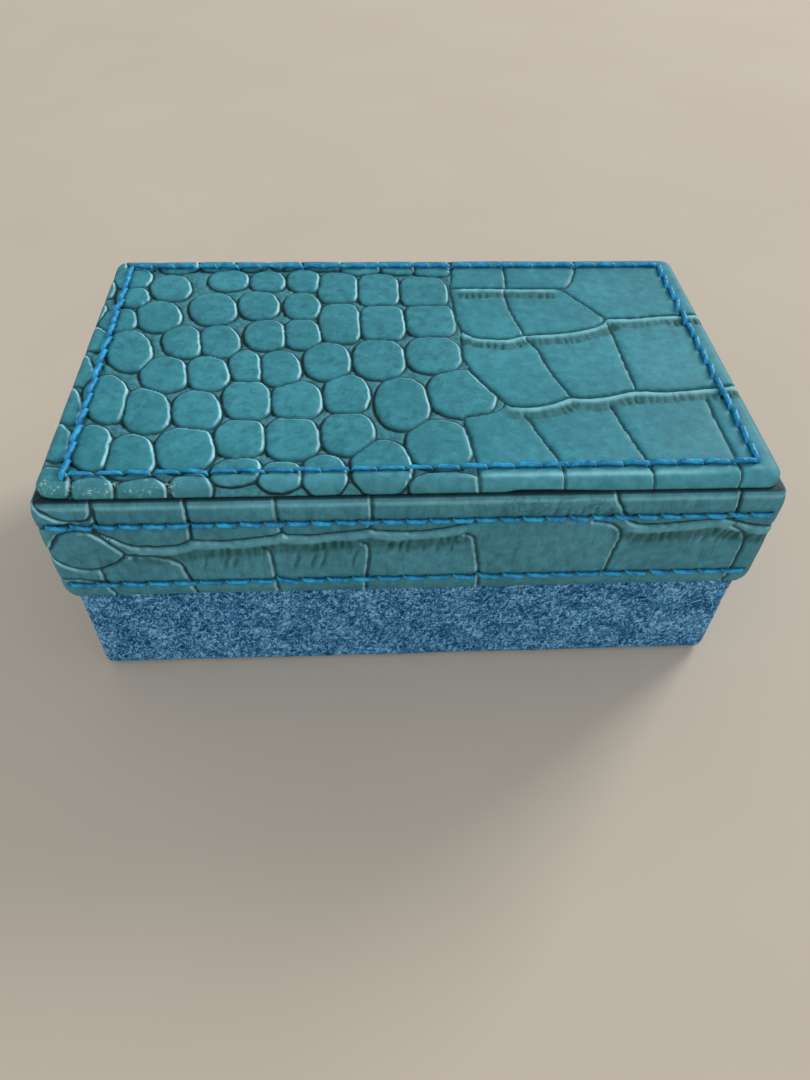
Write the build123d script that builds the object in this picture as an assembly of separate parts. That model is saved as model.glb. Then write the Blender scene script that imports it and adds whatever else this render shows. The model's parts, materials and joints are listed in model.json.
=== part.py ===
"""Small jewellery case: a suede-covered board box with a leather-covered lift-off lid.

The base is a floor board and four wall boards in one suede wrap. A lined neck stands inside the walls
and rises into the lid, so the lid is located by the neck and rests on the base's rim. The lid is a
tray of boards in a stitched leather band, with a separate stitched leather panel glued on top.

X is the case's width, -Y is the front, Z is up. The origin is at the middle of the underside.
All sizes are in millimetres.
"""

import os
from math import atan2, degrees

from build123d import *

# Outside of the base and the heights that show
base_width = 105.4
base_depth = 62.0
base_height = 19.5
band_height = 20.4

# Sheet and board thicknesses
board = 2.0
neck_board = 1.5
panel_board = 1.0
divider_board = 1.5
padding = 0.4
leather = 0.8
band_leather_thickness = 1.2
leather_margin = 0.4
suede = 0.8
suede_margin = 0.4
bottom_sheet = 0.4
lining = 0.4

# Fits
lid_clearance = 0.3
neck_headroom = 3.6
panel_setback = 1.2
bottom_sheet_inset = 1.0
strip_joint_gap = 0.2

# Turned-in margins
base_margin_under = 9.0
base_margin_inside = 9.0
band_margin_over = 10.0
band_margin_inside = 5.0
panel_margin_under = 8.0

# Rounded edges of the coverings
corner_radius = 1.6
base_foot_radius = 1.2
base_rim_radius = 0.9
band_lower_edge_radius = 0.4
band_upper_edge_radius = 0.7
panel_corner_radius = 2.4
panel_edge_radius = 1.8
panel_foot_radius = 0.25

# The band's leather is skived thinner along both edges, so that it draws in there
skive_width = 3.0
lower_edge_draw = 0.8
upper_edge_draw = 0.4

# Stitching
thread_width = 0.8
stitch_gap = 0.8
panel_stitch_pitch = 3.9
panel_stitch_side_inset = 3.5
panel_stitch_front_inset = 2.7
panel_stitch_back_inset = 3.3
upper_stitch_pitch = 3.4
upper_stitch_drop = 4.0
lower_stitch_pitch = 3.85
lower_stitch_rise = 3.9

# Inside of the base
ring_bay_width = 44.0
divider_height = 18.0
ring_roll_count = 4
ring_roll_height = 14.0
ring_roll_foot_inset = 1.8
ring_roll_bulge_height = 6.3
ring_roll_shoulder_inset = 1.3
ring_roll_shoulder_drop = 2.2
ring_roll_cover = 0.6
ring_roll_gap = 0.3

# Half sizes, worked outwards from the base's suede to the lid's leather
base_half_x = base_width / 2
base_half_y = base_depth / 2


def inwards(distance):
    """Half sizes (x, y) that lie this far inside the base's suede."""
    return base_half_x - distance, base_half_y - distance


wall_outside = suede
wall_inside = wall_outside + board
neck_outside = wall_inside + suede_margin
neck_inside = neck_outside + neck_board
room_inside = neck_inside + lining
neck_lining_outside = neck_outside - lining
lid_lining_inside = neck_lining_outside - lid_clearance
lid_wall_inside = lid_lining_inside - lining
lid_wall_outside = lid_wall_inside - board
band_outside = lid_wall_outside - band_leather_thickness
panel_outside = band_outside + panel_setback
panel_core = panel_outside + leather

# Heights, worked up from the table
floor_low = bottom_sheet + suede_margin
floor_high = floor_low + board
floor_lining_high = floor_high + lining
rim = base_height
wall_high = rim - suede_margin
lid_wall_low = rim + leather_margin
seam = rim + band_height
tray_high = seam - leather_margin
tray_low = tray_high - board
ceiling = tray_low - lining
neck_high = ceiling - neck_headroom
neck_board_high = neck_high - lining
panel_board_low = seam + leather_margin
panel_board_high = panel_board_low + panel_board
padding_high = panel_board_high + padding
case_top = padding_high + leather


def block(distance, low, high, radius=0.0):
    """A block of the case's plan, its walls this far inside the base's suede."""
    half_x, half_y = inwards(distance)
    plan = RectangleRounded(2 * half_x, 2 * half_y, radius) if radius else Rectangle(2 * half_x, 2 * half_y)
    return Pos(0, 0, low) * extrude(plan, high - low)


def ring(outside, inside, low, high):
    """A hollow block: a closed wall between two plan sizes."""
    return block(outside, low, high) - block(inside, low, high)


def rim_edges(shape, height):
    """The outline edges of a shape at one height."""
    return [e for e in shape.edges() if abs(e.bounding_box().min.Z - height) < 1e-6
            and abs(e.bounding_box().max.Z - height) < 1e-6]


def strip_joint(outside, inside, low, high):
    """The narrow gap at the middle of the back where a wrapped strip's two ends meet."""
    outer_y = inwards(outside)[1]
    inner_y = inwards(inside)[1]
    gap = Box(strip_joint_gap, outer_y - inner_y, high - low)
    return Pos(0, (outer_y + inner_y) / 2, (low + high) / 2) * gap


def wall_boards(outside, inside, low, high, name):
    """Four glued boards: the front and back run full width, the ends fit between them."""
    outer_x, outer_y = inwards(outside)
    inner_x, inner_y = inwards(inside)
    thick = inside - outside
    middle = (low + high) / 2
    long_board = Box(2 * outer_x, thick, high - low)
    end_board = Box(thick, 2 * inner_y, high - low)
    return {
        f"{name}_front_board": Pos(0, -(outer_y + inner_y) / 2, middle) * long_board,
        f"{name}_back_board": Pos(0, (outer_y + inner_y) / 2, middle) * long_board,
        f"{name}_left_board": Pos(-(outer_x + inner_x) / 2, 0, middle) * end_board,
        f"{name}_right_board": Pos((outer_x + inner_x) / 2, 0, middle) * end_board,
    }


# Base


def base_suede_cover():
    """The suede wrap: outside of the walls, over the rim, and margins turned under and inside."""
    shell = block(0, bottom_sheet, rim, corner_radius)
    shell = fillet(rim_edges(shell, bottom_sheet), base_foot_radius)
    shell = fillet(rim_edges(shell, rim), base_rim_radius)
    shell -= block(wall_outside, floor_low, wall_high)
    shell -= block(neck_outside, wall_high, rim)
    shell -= block(wall_outside + base_margin_under, bottom_sheet, floor_low)
    turned_in = ring(wall_inside, neck_outside, wall_high - base_margin_inside, wall_high)
    return shell + turned_in - strip_joint(0, neck_outside, floor_low, rim)


def base_bottom_sheet():
    """The flat sheet glued over the turned margins, which the case stands on."""
    return block(bottom_sheet_inset, 0, bottom_sheet)


def base_floor_board():
    """The floor, under the four wall boards."""
    return block(wall_outside, floor_low, floor_high)


def neck_lining():
    """One strip that covers the neck outside above the rim, over its top, and down to the floor."""
    outer_leg = ring(neck_lining_outside, neck_outside, rim, neck_high)
    over_top = ring(neck_outside, room_inside, neck_board_high, neck_high)
    inner_leg = ring(neck_inside, room_inside, floor_high, neck_board_high)
    strip = outer_leg + over_top + inner_leg
    return strip - strip_joint(neck_lining_outside, room_inside, floor_high, neck_high)


def floor_lining():
    """The lining glued to the floor inside the neck."""
    return block(room_inside, floor_high, floor_lining_high)


# Fittings inside the base

room_x, room_y = inwards(room_inside)
divider_thick = divider_board + 2 * lining
long_divider_x = -room_x + ring_bay_width + divider_thick / 2
tray_left = long_divider_x + divider_thick / 2


def divider(length):
    """A divider along X, standing on z=0: its board, and the lining folded over it."""
    core_high = divider_height - lining
    core = Pos(0, 0, core_high / 2) * Box(length, divider_board, core_high)
    outer = Pos(0, 0, divider_height / 2) * Box(length, divider_thick, divider_height)
    return core, outer - core


def dividers():
    """A long divider from front to back, and a cross divider from it to the right wall."""
    long_core, long_cover = divider(2 * room_y)
    cross_core, cross_cover = divider(room_x - tray_left)
    long_place = Pos(long_divider_x, 0, floor_lining_high) * Rot(0, 0, 90)
    cross_place = Pos((tray_left + room_x) / 2, 0, floor_lining_high)
    return {
        "long_divider_board": long_place * long_core,
        "long_divider_cover": long_place * long_cover,
        "cross_divider_board": cross_place * cross_core,
        "cross_divider_cover": cross_place * cross_cover,
    }


def roll_section(width, height):
    """A ring roll's section in the YZ plane: a flat foot, drawn-in flanks and a crowned top."""
    bulge = width / 2
    foot = bulge - ring_roll_foot_inset
    shoulder = bulge - ring_roll_shoulder_inset
    shoulder_high = height - ring_roll_shoulder_drop
    outline = [
        Line((-foot, 0), (foot, 0)),
        ThreePointArc((foot, 0), (bulge, ring_roll_bulge_height), (shoulder, shoulder_high)),
        ThreePointArc((shoulder, shoulder_high), (0, height), (-shoulder, shoulder_high)),
        ThreePointArc((-shoulder, shoulder_high), (-bulge, ring_roll_bulge_height), (-foot, 0)),
    ]
    return Plane.YZ * make_face(outline)


def ring_rolls():
    """Padded rolls side by side; a ring stands in the slot between two of them."""
    length = ring_bay_width - 2 * ring_roll_gap
    pitch = 2 * room_y / ring_roll_count
    width = pitch - ring_roll_gap
    core_section = roll_section(width - 2 * ring_roll_cover, ring_roll_height - 2 * ring_roll_cover)
    outside = extrude(roll_section(width, ring_roll_height), length / 2, both=True)
    core = extrude(Pos(0, 0, ring_roll_cover) * core_section, length / 2, both=True)
    cover = outside - core
    pieces = {}
    for number in range(ring_roll_count):
        y = -room_y + (number + 0.5) * pitch
        place = Pos(-room_x + ring_bay_width / 2, y, floor_lining_high)
        pieces[f"ring_roll_foam_{number + 1}"] = place * core
        pieces[f"ring_roll_cover_{number + 1}"] = place * cover
    return pieces


# Lid


def lid_tray_board():
    """The tray's top, on the four wall boards."""
    return block(lid_wall_outside, tray_low, tray_high)


def flared_slice(draw):
    """A slice of the lid's outside that stands on z=0 and is drawn in at its foot."""
    half_x, half_y = inwards(band_outside + draw)
    edge_plan = RectangleRounded(2 * half_x, 2 * half_y, corner_radius - draw)
    return extrude(edge_plan, skive_width, taper=-degrees(atan2(draw, skive_width)))


def drawn_in_block():
    """The lid's outside: upright between its stitched rows, drawn in above and below them."""
    lower = Pos(0, 0, rim) * flared_slice(lower_edge_draw)
    upper = Pos(0, 0, seam) * mirror(flared_slice(upper_edge_draw), Plane.XY)
    return lower + block(band_outside, rim + skive_width, seam - skive_width, corner_radius) + upper


def band_leather():
    """The leather strip round the lid, its margins turned over the tray and up inside the walls."""
    shell = drawn_in_block()
    shell = fillet(rim_edges(shell, rim), band_lower_edge_radius)
    shell = fillet(rim_edges(shell, seam), band_upper_edge_radius)
    shell -= block(lid_wall_outside, lid_wall_low, tray_high)
    shell -= block(lid_lining_inside, rim, lid_wall_low)
    shell -= block(lid_wall_outside + band_margin_over, tray_high, seam)
    turned_in = ring(lid_wall_inside, lid_lining_inside, lid_wall_low, lid_wall_low + band_margin_inside)
    return shell + turned_in - strip_joint(band_outside, lid_lining_inside, rim, seam)


def lid_wall_lining():
    """One strip inside the lid's walls, from the turned-in leather up to the ceiling."""
    low = lid_wall_low + band_margin_inside
    strip = ring(lid_wall_inside, lid_lining_inside, low, ceiling)
    return strip - strip_joint(lid_wall_inside, lid_lining_inside, low, ceiling)


def lid_ceiling_lining():
    """The lining under the tray's top."""
    return block(lid_wall_inside, ceiling, tray_low)


def panel_sheet(low, high):
    """A sheet of the top panel's inside, its corners rounded to follow the leather's."""
    return block(panel_core, low, high, panel_corner_radius - leather)


def panel_leather():
    """The top panel's leather, rounded over its edges and turned under the board."""
    skin = block(panel_outside, seam, case_top, panel_corner_radius)
    skin = fillet(rim_edges(skin, case_top), panel_edge_radius)
    skin = fillet(rim_edges(skin, seam), panel_foot_radius)
    skin -= panel_sheet(panel_board_low, padding_high)
    return skin - block(panel_core + panel_margin_under, seam, panel_board_low)


def panel_board_sheet():
    """The thin board that stiffens the top panel."""
    return panel_sheet(panel_board_low, panel_board_high)


def panel_padding():
    """The thin padding between the top panel's board and leather."""
    return panel_sheet(panel_board_high, padding_high)


# Stitching


def stitch(length):
    """One stitch along X on z=0: a round-ended thread, half of it sunk in the leather and left out."""
    radius = thread_width / 2
    straight = length - thread_width
    thread = Rot(0, 90, 0) * Cylinder(radius, straight)
    for end in (-1, 1):
        thread += Pos(end * straight / 2, 0, 0) * Sphere(radius)
    above = Pos(0, 0, radius / 2) * Box(length, thread_width, radius)
    return thread & above


def stitch_row(length, pitch):
    """A row of stitches along X, as many as the pitch asks for, spread evenly."""
    count = round(length / pitch)
    step = length / count
    one = stitch(step - stitch_gap)
    return [Pos(-length / 2 + (number + 0.5) * step, 0, 0) * one for number in range(count)]


def panel_stitching():
    """The rectangle of stitches round the top panel."""
    half_x, half_y = inwards(panel_outside)
    side = half_x - panel_stitch_side_inset
    front = -half_y + panel_stitch_front_inset
    back = half_y - panel_stitch_back_inset
    long_row = stitch_row(2 * side, panel_stitch_pitch)
    end_row = stitch_row(back - front, panel_stitch_pitch)
    rows = [
        (Pos(0, front, case_top), long_row),
        (Pos(0, back, case_top), long_row),
        (Pos(-side, (front + back) / 2, case_top) * Rot(0, 0, 90), end_row),
        (Pos(side, (front + back) / 2, case_top) * Rot(0, 0, 90), end_row),
    ]
    return Compound([place * s for place, row in rows for s in row])


def band_stitching(height, pitch):
    """A row of stitches right round the lid's band."""
    half_x, half_y = inwards(band_outside)
    long_row = stitch_row(2 * (half_x - corner_radius), pitch)
    end_row = stitch_row(2 * (half_y - corner_radius), pitch)
    faces = [
        (Pos(0, -half_y, height) * Rot(90, 0, 0), long_row),
        (Pos(0, half_y, height) * Rot(0, 0, 180) * Rot(90, 0, 0), long_row),
        (Pos(-half_x, 0, height) * Rot(0, 0, -90) * Rot(90, 0, 0), end_row),
        (Pos(half_x, 0, height) * Rot(0, 0, 90) * Rot(90, 0, 0), end_row),
    ]
    return Compound([face * s for face, row in faces for s in row])


def all_parts():
    parts = {
        "base_suede_cover": base_suede_cover(),
        "base_bottom_sheet": base_bottom_sheet(),
        "base_floor_board": base_floor_board(),
        "neck_lining": neck_lining(),
        "floor_lining": floor_lining(),
        "lid_tray_board": lid_tray_board(),
        "lid_band_leather": band_leather(),
        "lid_wall_lining": lid_wall_lining(),
        "lid_ceiling_lining": lid_ceiling_lining(),
        "top_panel_leather": panel_leather(),
        "top_panel_board": panel_board_sheet(),
        "top_panel_padding": panel_padding(),
        "top_panel_stitching": panel_stitching(),
        "band_upper_stitching": band_stitching(seam - upper_stitch_drop, upper_stitch_pitch),
        "band_lower_stitching": band_stitching(rim + lower_stitch_rise, lower_stitch_pitch),
    }
    parts |= wall_boards(wall_outside, wall_inside, floor_high, wall_high, "base")
    parts |= wall_boards(neck_outside, neck_inside, floor_high, neck_board_high, "neck")
    parts |= wall_boards(lid_wall_outside, lid_wall_inside, lid_wall_low, tray_low, "lid")
    parts |= dividers()
    parts |= ring_rolls()
    return parts


os.makedirs("parts", exist_ok=True)
for node, shape in all_parts().items():
    export_step(shape, f"parts/{node}.step")
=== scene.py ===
import json
from math import cos, pi, radians, sin, tau

import bmesh
import bpy
import numpy as np
from mathutils import Matrix, Vector


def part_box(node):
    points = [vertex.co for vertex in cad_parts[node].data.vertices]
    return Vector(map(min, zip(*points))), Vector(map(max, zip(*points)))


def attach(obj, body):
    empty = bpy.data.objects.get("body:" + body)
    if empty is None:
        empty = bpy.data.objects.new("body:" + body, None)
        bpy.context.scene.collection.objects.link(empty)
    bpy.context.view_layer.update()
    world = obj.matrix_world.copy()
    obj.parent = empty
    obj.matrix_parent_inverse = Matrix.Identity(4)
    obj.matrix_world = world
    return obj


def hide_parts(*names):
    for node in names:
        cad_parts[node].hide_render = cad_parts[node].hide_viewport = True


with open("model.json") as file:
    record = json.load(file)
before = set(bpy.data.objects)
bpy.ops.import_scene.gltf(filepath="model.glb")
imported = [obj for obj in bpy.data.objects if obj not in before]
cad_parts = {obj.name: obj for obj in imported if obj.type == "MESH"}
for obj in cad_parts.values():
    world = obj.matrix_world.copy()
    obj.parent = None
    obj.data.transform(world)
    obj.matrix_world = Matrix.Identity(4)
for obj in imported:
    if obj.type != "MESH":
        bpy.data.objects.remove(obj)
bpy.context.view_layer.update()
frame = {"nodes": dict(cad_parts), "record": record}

# Looks of a small jewellery case: suede base, embossed leather lid with a stitched band and top panel.
# Lengths are in millimetres until a mesh is made, and MM turns them to metres.
# X is the width, -Y the front, Z up, as in the frame.
MM = 0.001


def node_box(node):
    """Lowest and highest corner of a frame node, in millimetres."""
    low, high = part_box(node)
    return low / MM, high / MM


# Sizes read from the frame
panel_low, panel_high = node_box("top_panel_leather")
band_low, band_high = node_box("lid_band_leather")
suede_low, suede_high = node_box("base_suede_cover")
neck_high = node_box("neck_lining")[1]
wall_low, wall_high = node_box("lid_front_board")
tray_high = node_box("lid_tray_board")[1]
pad_low, pad_high = node_box("top_panel_padding")
base_wall_high = node_box("base_front_board")[1]
base_floor_low, base_floor_high = node_box("base_floor_board")
neck_board_low, neck_board_high = node_box("neck_front_board")
panel_stitch_low, panel_stitch_high = node_box("top_panel_stitching")
upper_stitch_low, upper_stitch_high = node_box("band_upper_stitching")
lower_stitch_low, lower_stitch_high = node_box("band_lower_stitching")

# Sheets, turned edges and rounded edges
panel_leather_thick = 0.8
band_leather_thick = 1.2
thin_leather = 0.4
panel_margin_under = 8.0
band_margin_over = 10.0
band_margin_inside = 5.0
corner_radius = 1.6
panel_corner_radius = 2.4
panel_roll_radius = 1.8
panel_foot_radius = 0.25
band_lower_edge_radius = 0.4
band_upper_edge_radius = 0.7
skive_width = 3.0
lower_edge_draw = 0.8
upper_edge_draw = 0.4
suede_foot_radius = 1.2
suede_rim_radius = 0.9
board_thick = 2.0
lining_thick = 0.4
butt_gap = 0.2
leather_step = 0.3

wall_thick = wall_high.y - wall_low.y
base_wall_edge = suede_high.x - base_wall_high.x
neck_from_suede = suede_high.x - neck_board_high.x
neck_inside = neck_board_high.y - neck_board_low.y + 2 * lining_thick
base_margin_under = 9.0
base_margin_inside = 9.0
base_margin_low = base_wall_high.z - base_margin_inside


# Smooth steps and small fields used on every sheet


def ease(low, high, value):
    """0 below low, 1 above high, and a smooth rise between them."""
    t = np.clip((value - low) / (high - low), 0, 1)
    return t * t * (3 - 2 * t)


def soft_least(a, b, radius):
    """The lesser of two fields, with the corner between them rounded."""
    share = np.clip(0.5 + 0.5 * (b - a) / radius, 0, 1)
    return b + (a - b) * share - radius * share * (1 - share)


def ripple(x, y, size, seed):
    """A smooth random field about 1 high, whose hills are about this size apart."""
    rng = np.random.default_rng(seed)
    total = np.zeros(np.shape(x))
    waves = 14
    for _ in range(waves):
        heading = rng.uniform(0, tau)
        pitch = tau / size * rng.uniform(0.6, 1.5)
        total += np.cos(pitch * (x * cos(heading) + y * sin(heading)) + rng.uniform(0, tau))
    return total / np.sqrt(waves)


def crease_line(points, x, y):
    """Distance to a line, which side of it a point is on, how far along it is, and the line's length."""
    nearest = np.full(np.shape(x), 1e3)
    side = np.zeros(np.shape(x))
    along = np.zeros(np.shape(x))
    run = 0.0
    for (x0, y0), (x1, y1) in zip(points, points[1:]):
        length = np.hypot(x1 - x0, y1 - y0)
        ux = (x1 - x0) / length
        uy = (y1 - y0) / length
        reach = np.clip((x - x0) * ux + (y - y0) * uy, 0, length)
        distance = np.hypot(x - x0 - reach * ux, y - y0 - reach * uy)
        closer = distance < nearest
        nearest = np.where(closer, distance, nearest)
        side = np.where(closer, np.sign((x - x0) * uy - (y - y0) * ux), side)
        along = np.where(closer, run + reach, along)
        run += length
    return nearest, side, along, run


# Emboss: lines of creases, with the scales between them

# How far off a crease is still looked for, how deep it is, and how wide its flank
crease_reach = 3.0
crease_depth = 0.50
crease_slope = 0.75

# How deep a crease is, as a share of one that runs up and down between round scales
cross_share = 0.7
belly_share = 0.75
band_share = 0.9

# How far a scale's middle rises over its rim, how wide the rim is, and how far scales grow to meet
scale_crown = 0.10
crown_width = 1.9
scale_growth = 0.60

# How far the rough gap between scales rises out of the crease, as a share of its depth
gap_rise = 0.45

# In front of a long crease: a smooth ridge, and past it a trough with short pleats
ridge_place = 0.75
ridge_half_width = 0.5
ridge_rise = 0.12
trough_place = 2.1
trough_half_width = 0.85
pleat_depth = 0.36
pleat_pitch = 1.3

# How far creases waver, how far apart their waves are, and how far a broad sheet swells and sinks
waver = 0.05
waver_size = 1.8
sheet_swell = 0.03

# Which way the light comes from for the painted highlights and painted shade on the flanks of scales: 0 is
# right, and 90 degrees the back or up the band
panel_light_heading = radians(40)
band_light_heading = radians(15)


def rounded_line(points):
    """The same line with its corners rounded, by two more points between each pair."""
    points = [np.array(point, float) for point in points]
    padded = [2 * points[0] - points[1]] + points + [2 * points[-1] - points[-2]]
    line = []
    for before, start, end, after in zip(padded, padded[1:], padded[2:], padded[3:]):
        for t in (0, 1 / 3, 2 / 3):
            pull = (end - before) / 2 * (t - 2 * t ** 2 + t ** 3)
            pull += (after - start) / 2 * (t ** 3 - t ** 2)
            line.append(start * (1 - 3 * t ** 2 + 2 * t ** 3) + end * (3 * t ** 2 - 2 * t ** 3) + pull)
    return line + [points[-1]]


def crease_distance(lines, x, y):
    """Distance to the nearest of some lines, no more than the reach that creases are looked for in."""
    nearest = np.full(np.shape(x), crease_reach)
    for line in lines:
        line = rounded_line(line)
        for (x0, y0), (x1, y1) in zip(line, line[1:]):
            near_x = (x > min(x0, x1) - crease_reach) & (x < max(x0, x1) + crease_reach)
            near_y = (y > min(y0, y1) - crease_reach) & (y < max(y0, y1) + crease_reach)
            near = np.flatnonzero(near_x & near_y)
            length = np.hypot(x1 - x0, y1 - y0)
            to_x = x[near] - x0
            to_y = y[near] - y0
            reach = np.clip((to_x * (x1 - x0) + to_y * (y1 - y0)) / length ** 2, 0, 1)
            distance = np.hypot(to_x - reach * (x1 - x0), to_y - reach * (y1 - y0))
            nearest[near] = np.minimum(nearest[near], distance)
    return nearest


def leaning_crease(lines, x, y):
    """Distance to the nearest line, made larger on its left, so that the crease is steep there."""
    distance = crease_distance(lines, x, y)
    step = 0.2
    to_left = (crease_distance(lines, x - step, y) - distance) / step
    return distance * (1 + np.clip(to_left, 0, 1))


def spots(places, x, y):
    """1 in the middle of some round places, 0 outside them. A place is (x, y, radius)."""
    share = np.zeros(np.shape(x))
    for centre_x, centre_y, radius in places:
        share = np.maximum(share, ease(radius, 0.4 * radius, np.hypot(x - centre_x, y - centre_y)))
    return share


def round_scales(scales, x, y):
    """Depth inside the nearest scale and the next one, and how upright the crease between them is.

    A scale is (x, y, half width, half length). Each swells a little to meet its neighbours."""
    nearest = np.full(np.shape(x), -1e3)
    second = np.full(np.shape(x), -1e3)
    near_x = np.zeros(np.shape(x))
    near_y = np.zeros(np.shape(x))
    next_x = np.zeros(np.shape(x))
    next_y = np.zeros(np.shape(x))
    for centre_x, centre_y, half_width, half_length in scales:
        angle = panel_lean(centre_x)
        across = (x - centre_x) * np.cos(angle) + (y - centre_y) * np.sin(angle)
        length = (y - centre_y) * np.cos(angle) - (x - centre_x) * np.sin(angle)
        corner = panel_corner(centre_x, centre_y)
        share = np.abs(across / half_width) ** corner + np.abs(length / half_length) ** corner
        share = share ** (1 / corner)
        radius = np.minimum(np.hypot(across, length) / np.maximum(share, 1e-6), 1.5 * half_width)
        inside = (1 - share) * radius + scale_growth
        first = inside > nearest
        runner_up = ~first & (inside > second)
        second = np.where(first, nearest, np.where(runner_up, inside, second))
        next_x = np.where(first, near_x, np.where(runner_up, centre_x, next_x))
        next_y = np.where(first, near_y, np.where(runner_up, centre_y, next_y))
        nearest = np.where(first, inside, nearest)
        near_x = np.where(first, centre_x, near_x)
        near_y = np.where(first, centre_y, near_y)
    apart = np.hypot(next_x - near_x, next_y - near_y) + 1e-6
    upright = np.abs(next_x - near_x) / apart
    return nearest, second, upright


def relief(edge, strength, fold):
    """Height of a sheet from its edge field, with its folds added.

    The field is 0 on a crease, and grows into a scale. Below 0 is the rough gap between round scales."""
    height = -crease_depth * strength * (1 - np.clip(edge / crease_slope, 0, 1)) ** 2
    height += gap_rise * crease_depth * ease(0.35, 1.1, -edge)
    height -= scale_crown * (1 - ease(0, crown_width, edge))
    return height + fold


def pleated_fold(front, along, length, seed):
    """In front of a long crease: the sheet's height, its smooth ridge, and the short pleats past it."""
    ends = ease(0, 2.5, along) * ease(0, 2.5, length - along)
    drift = 0.2 * ripple(along, 0 * along, 7.0, seed)
    beat = np.sin(along * tau / pleat_pitch + 1.5 * ripple(along, 0 * along, 5.0, seed + 1) + 0.5 * front)
    patch = ease(-0.5, 0.6, ripple(along, 0 * along, 9.0, seed + 2))
    ridge = ends * np.exp(-((front - ridge_place) / ridge_half_width) ** 4) * ease(0, 0.2, front)
    trough = ends * np.exp(-((front - trough_place - drift) / trough_half_width) ** 4)
    pleat = trough * (0.4 + 0.6 * (0.3 + 0.7 * patch) * ease(-0.1, 0.5, beat))
    return ridge_rise * ridge - pleat_depth * pleat, ridge, pleat


def wavering(x, y, seed):
    """The same flat points, moved a little, so that no crease or scale is quite smooth."""
    return x + waver * ripple(x, y, waver_size, seed), y + waver * ripple(x, y, waver_size, seed + 1)


# The top panel's emboss, laid out as it lies on the case, with x to the right and y to the back

panel_scales = [
    (-48.6, 24.5, 3.0, 3.5), (-47.5, 18.0, 2.4, 3.0), (-48.7, 10.5, 3.0, 3.2), (-45.3, 1.7, 3.2, 5.6),
    (-46.3, -11.0, 3.0, 5.6), (-46.2, -22.3, 2.7, 4.6),
    (-41.3, 21.0, 3.1, 4.2), (-42.0, 11.7, 3.3, 4.5), (-36.8, 4.0, 2.9, 4.4), (-38.5, -5.0, 3.3, 4.4),
    (-40.0, -14.0, 3.2, 5.2), (-40.5, -24.5, 3.2, 4.5),
    (-31.2, 23.5, 3.2, 3.2), (-33.0, 14.0, 3.6, 4.9), (-31.0, 4.0, 3.0, 4.4), (-31.8, -4.8, 3.0, 4.3),
    (-32.4, -14.2, 3.2, 4.5), (-32.9, -23.0, 3.8, 4.7),
    (-24.2, 23.0, 2.8, 3.3), (-25.2, 15.0, 3.1, 4.3), (-23.3, 5.8, 3.2, 4.1), (-25.9, -3.2, 2.3, 4.2),
    (-25.0, -11.8, 3.3, 4.7), (-25.2, -20.8, 3.4, 4.0), (-25.2, -28.0, 3.2, 2.4),
    (-17.6, 23.2, 2.7, 3.6), (-17.6, 14.6, 2.8, 4.0), (-17.3, 6.0, 2.9, 4.1), (-20.5, -3.7, 2.9, 4.5),
    (-17.5, -12.0, 3.6, 4.4), (-17.8, -20.9, 3.7, 4.6), (-19.0, -29.0, 2.8, 2.6),
    (-11.4, 20.8, 3.3, 4.9), (-11.0, 9.3, 3.2, 5.7), (-13.0, -1.8, 3.4, 4.9), (-9.9, -10.7, 3.2, 4.7),
    (-9.7, -20.0, 3.6, 4.5), (-13.0, -28.8, 2.8, 3.7),
    (-4.1, 19.9, 3.4, 5.2), (-3.7, 9.2, 3.5, 5.2), (-4.6, -1.3, 3.9, 5.3), (-1.3, -13.0, 3.8, 6.1),
    (-4.9, -27.3, 3.9, 5.3),
    (4.0, 19.2, 3.9, 5.0), (4.6, 9.9, 3.9, 4.9), (4.4, -0.3, 4.2, 4.9), (8.0, -10.8, 4.9, 5.6),
    (3.6, -22.8, 4.4, 5.2), (3.9, -31.5, 4.6, 2.4),
    (-52.8, 29.0, 2.0, 2.2), (-47.5, 30.8, 3.0, 2.2), (-41.0, 29.5, 3.2, 3.2), (-33.8, 29.6, 2.9, 2.4),
    (-27.5, 29.8, 2.6, 2.4), (-21.2, 30.0, 2.6, 2.3), (-14.4, 29.8, 3.3, 2.5), (-7.3, 28.8, 3.3, 3.2),
    (-0.2, 28.6, 3.0, 2.8), (6.0, 27.8, 3.0, 2.8),
    (-53.2, 21.5, 1.5, 3.5), (-53.0, 13.5, 1.4, 3.4), (-51.3, 5.0, 2.0, 3.2), (-52.4, -3.5, 2.0, 4.0),
    (-52.0, -12.5, 1.9, 4.2), (-51.6, -21.0, 1.9, 3.8), (-51.0, -30.0, 3.0, 3.0), (-44.6, -31.2, 2.4, 2.6),
    (-38.0, -31.8, 3.0, 2.4), (-31.2, -31.0, 2.4, 2.6),
]

# Where the round scales end and the broad belly scales begin, from the back to the front
belly_edge = [
    (9.9, 36), (9.7, 28), (9.3, 24), (8.7, 20), (8.9, 15), (9, 10), (9.5, 7), (9.2, 3), (9.1, 0), (9.2, -2),
    (9.8, -4.5), (11.5, -8), (13.5, -11.5), (14.4, -13.5), (13.3, -15), (11, -16), (8, -16.7), (7.6, -18),
    (8.1, -21), (8.4, -25), (8.5, -28), (9, -36),
]

# Long creases across the belly, each with a puckered fold in front of it
belly_long_creases = [
    [(8.9, 20.2), (20, 20), (29, 19.9)],
    [(9.5, 7), (11, 5), (12.5, 4.2), (17, 3.9), (20, 5), (26, 5.4), (29, 6), (32, 7), (34.5, 8.6),
     (35.3, 9.9), (40, 10), (45, 10.7), (56, 11.3)],
    [(14.4, -13.5), (15.8, -14.3), (18.5, -14.4), (21.5, -13.7), (24.7, -12.2), (26, -12.3), (28, -12.4),
     (31, -11.9), (35.3, -10.7), (40, -11), (45, -10.5), (56, -9)],
]

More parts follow.
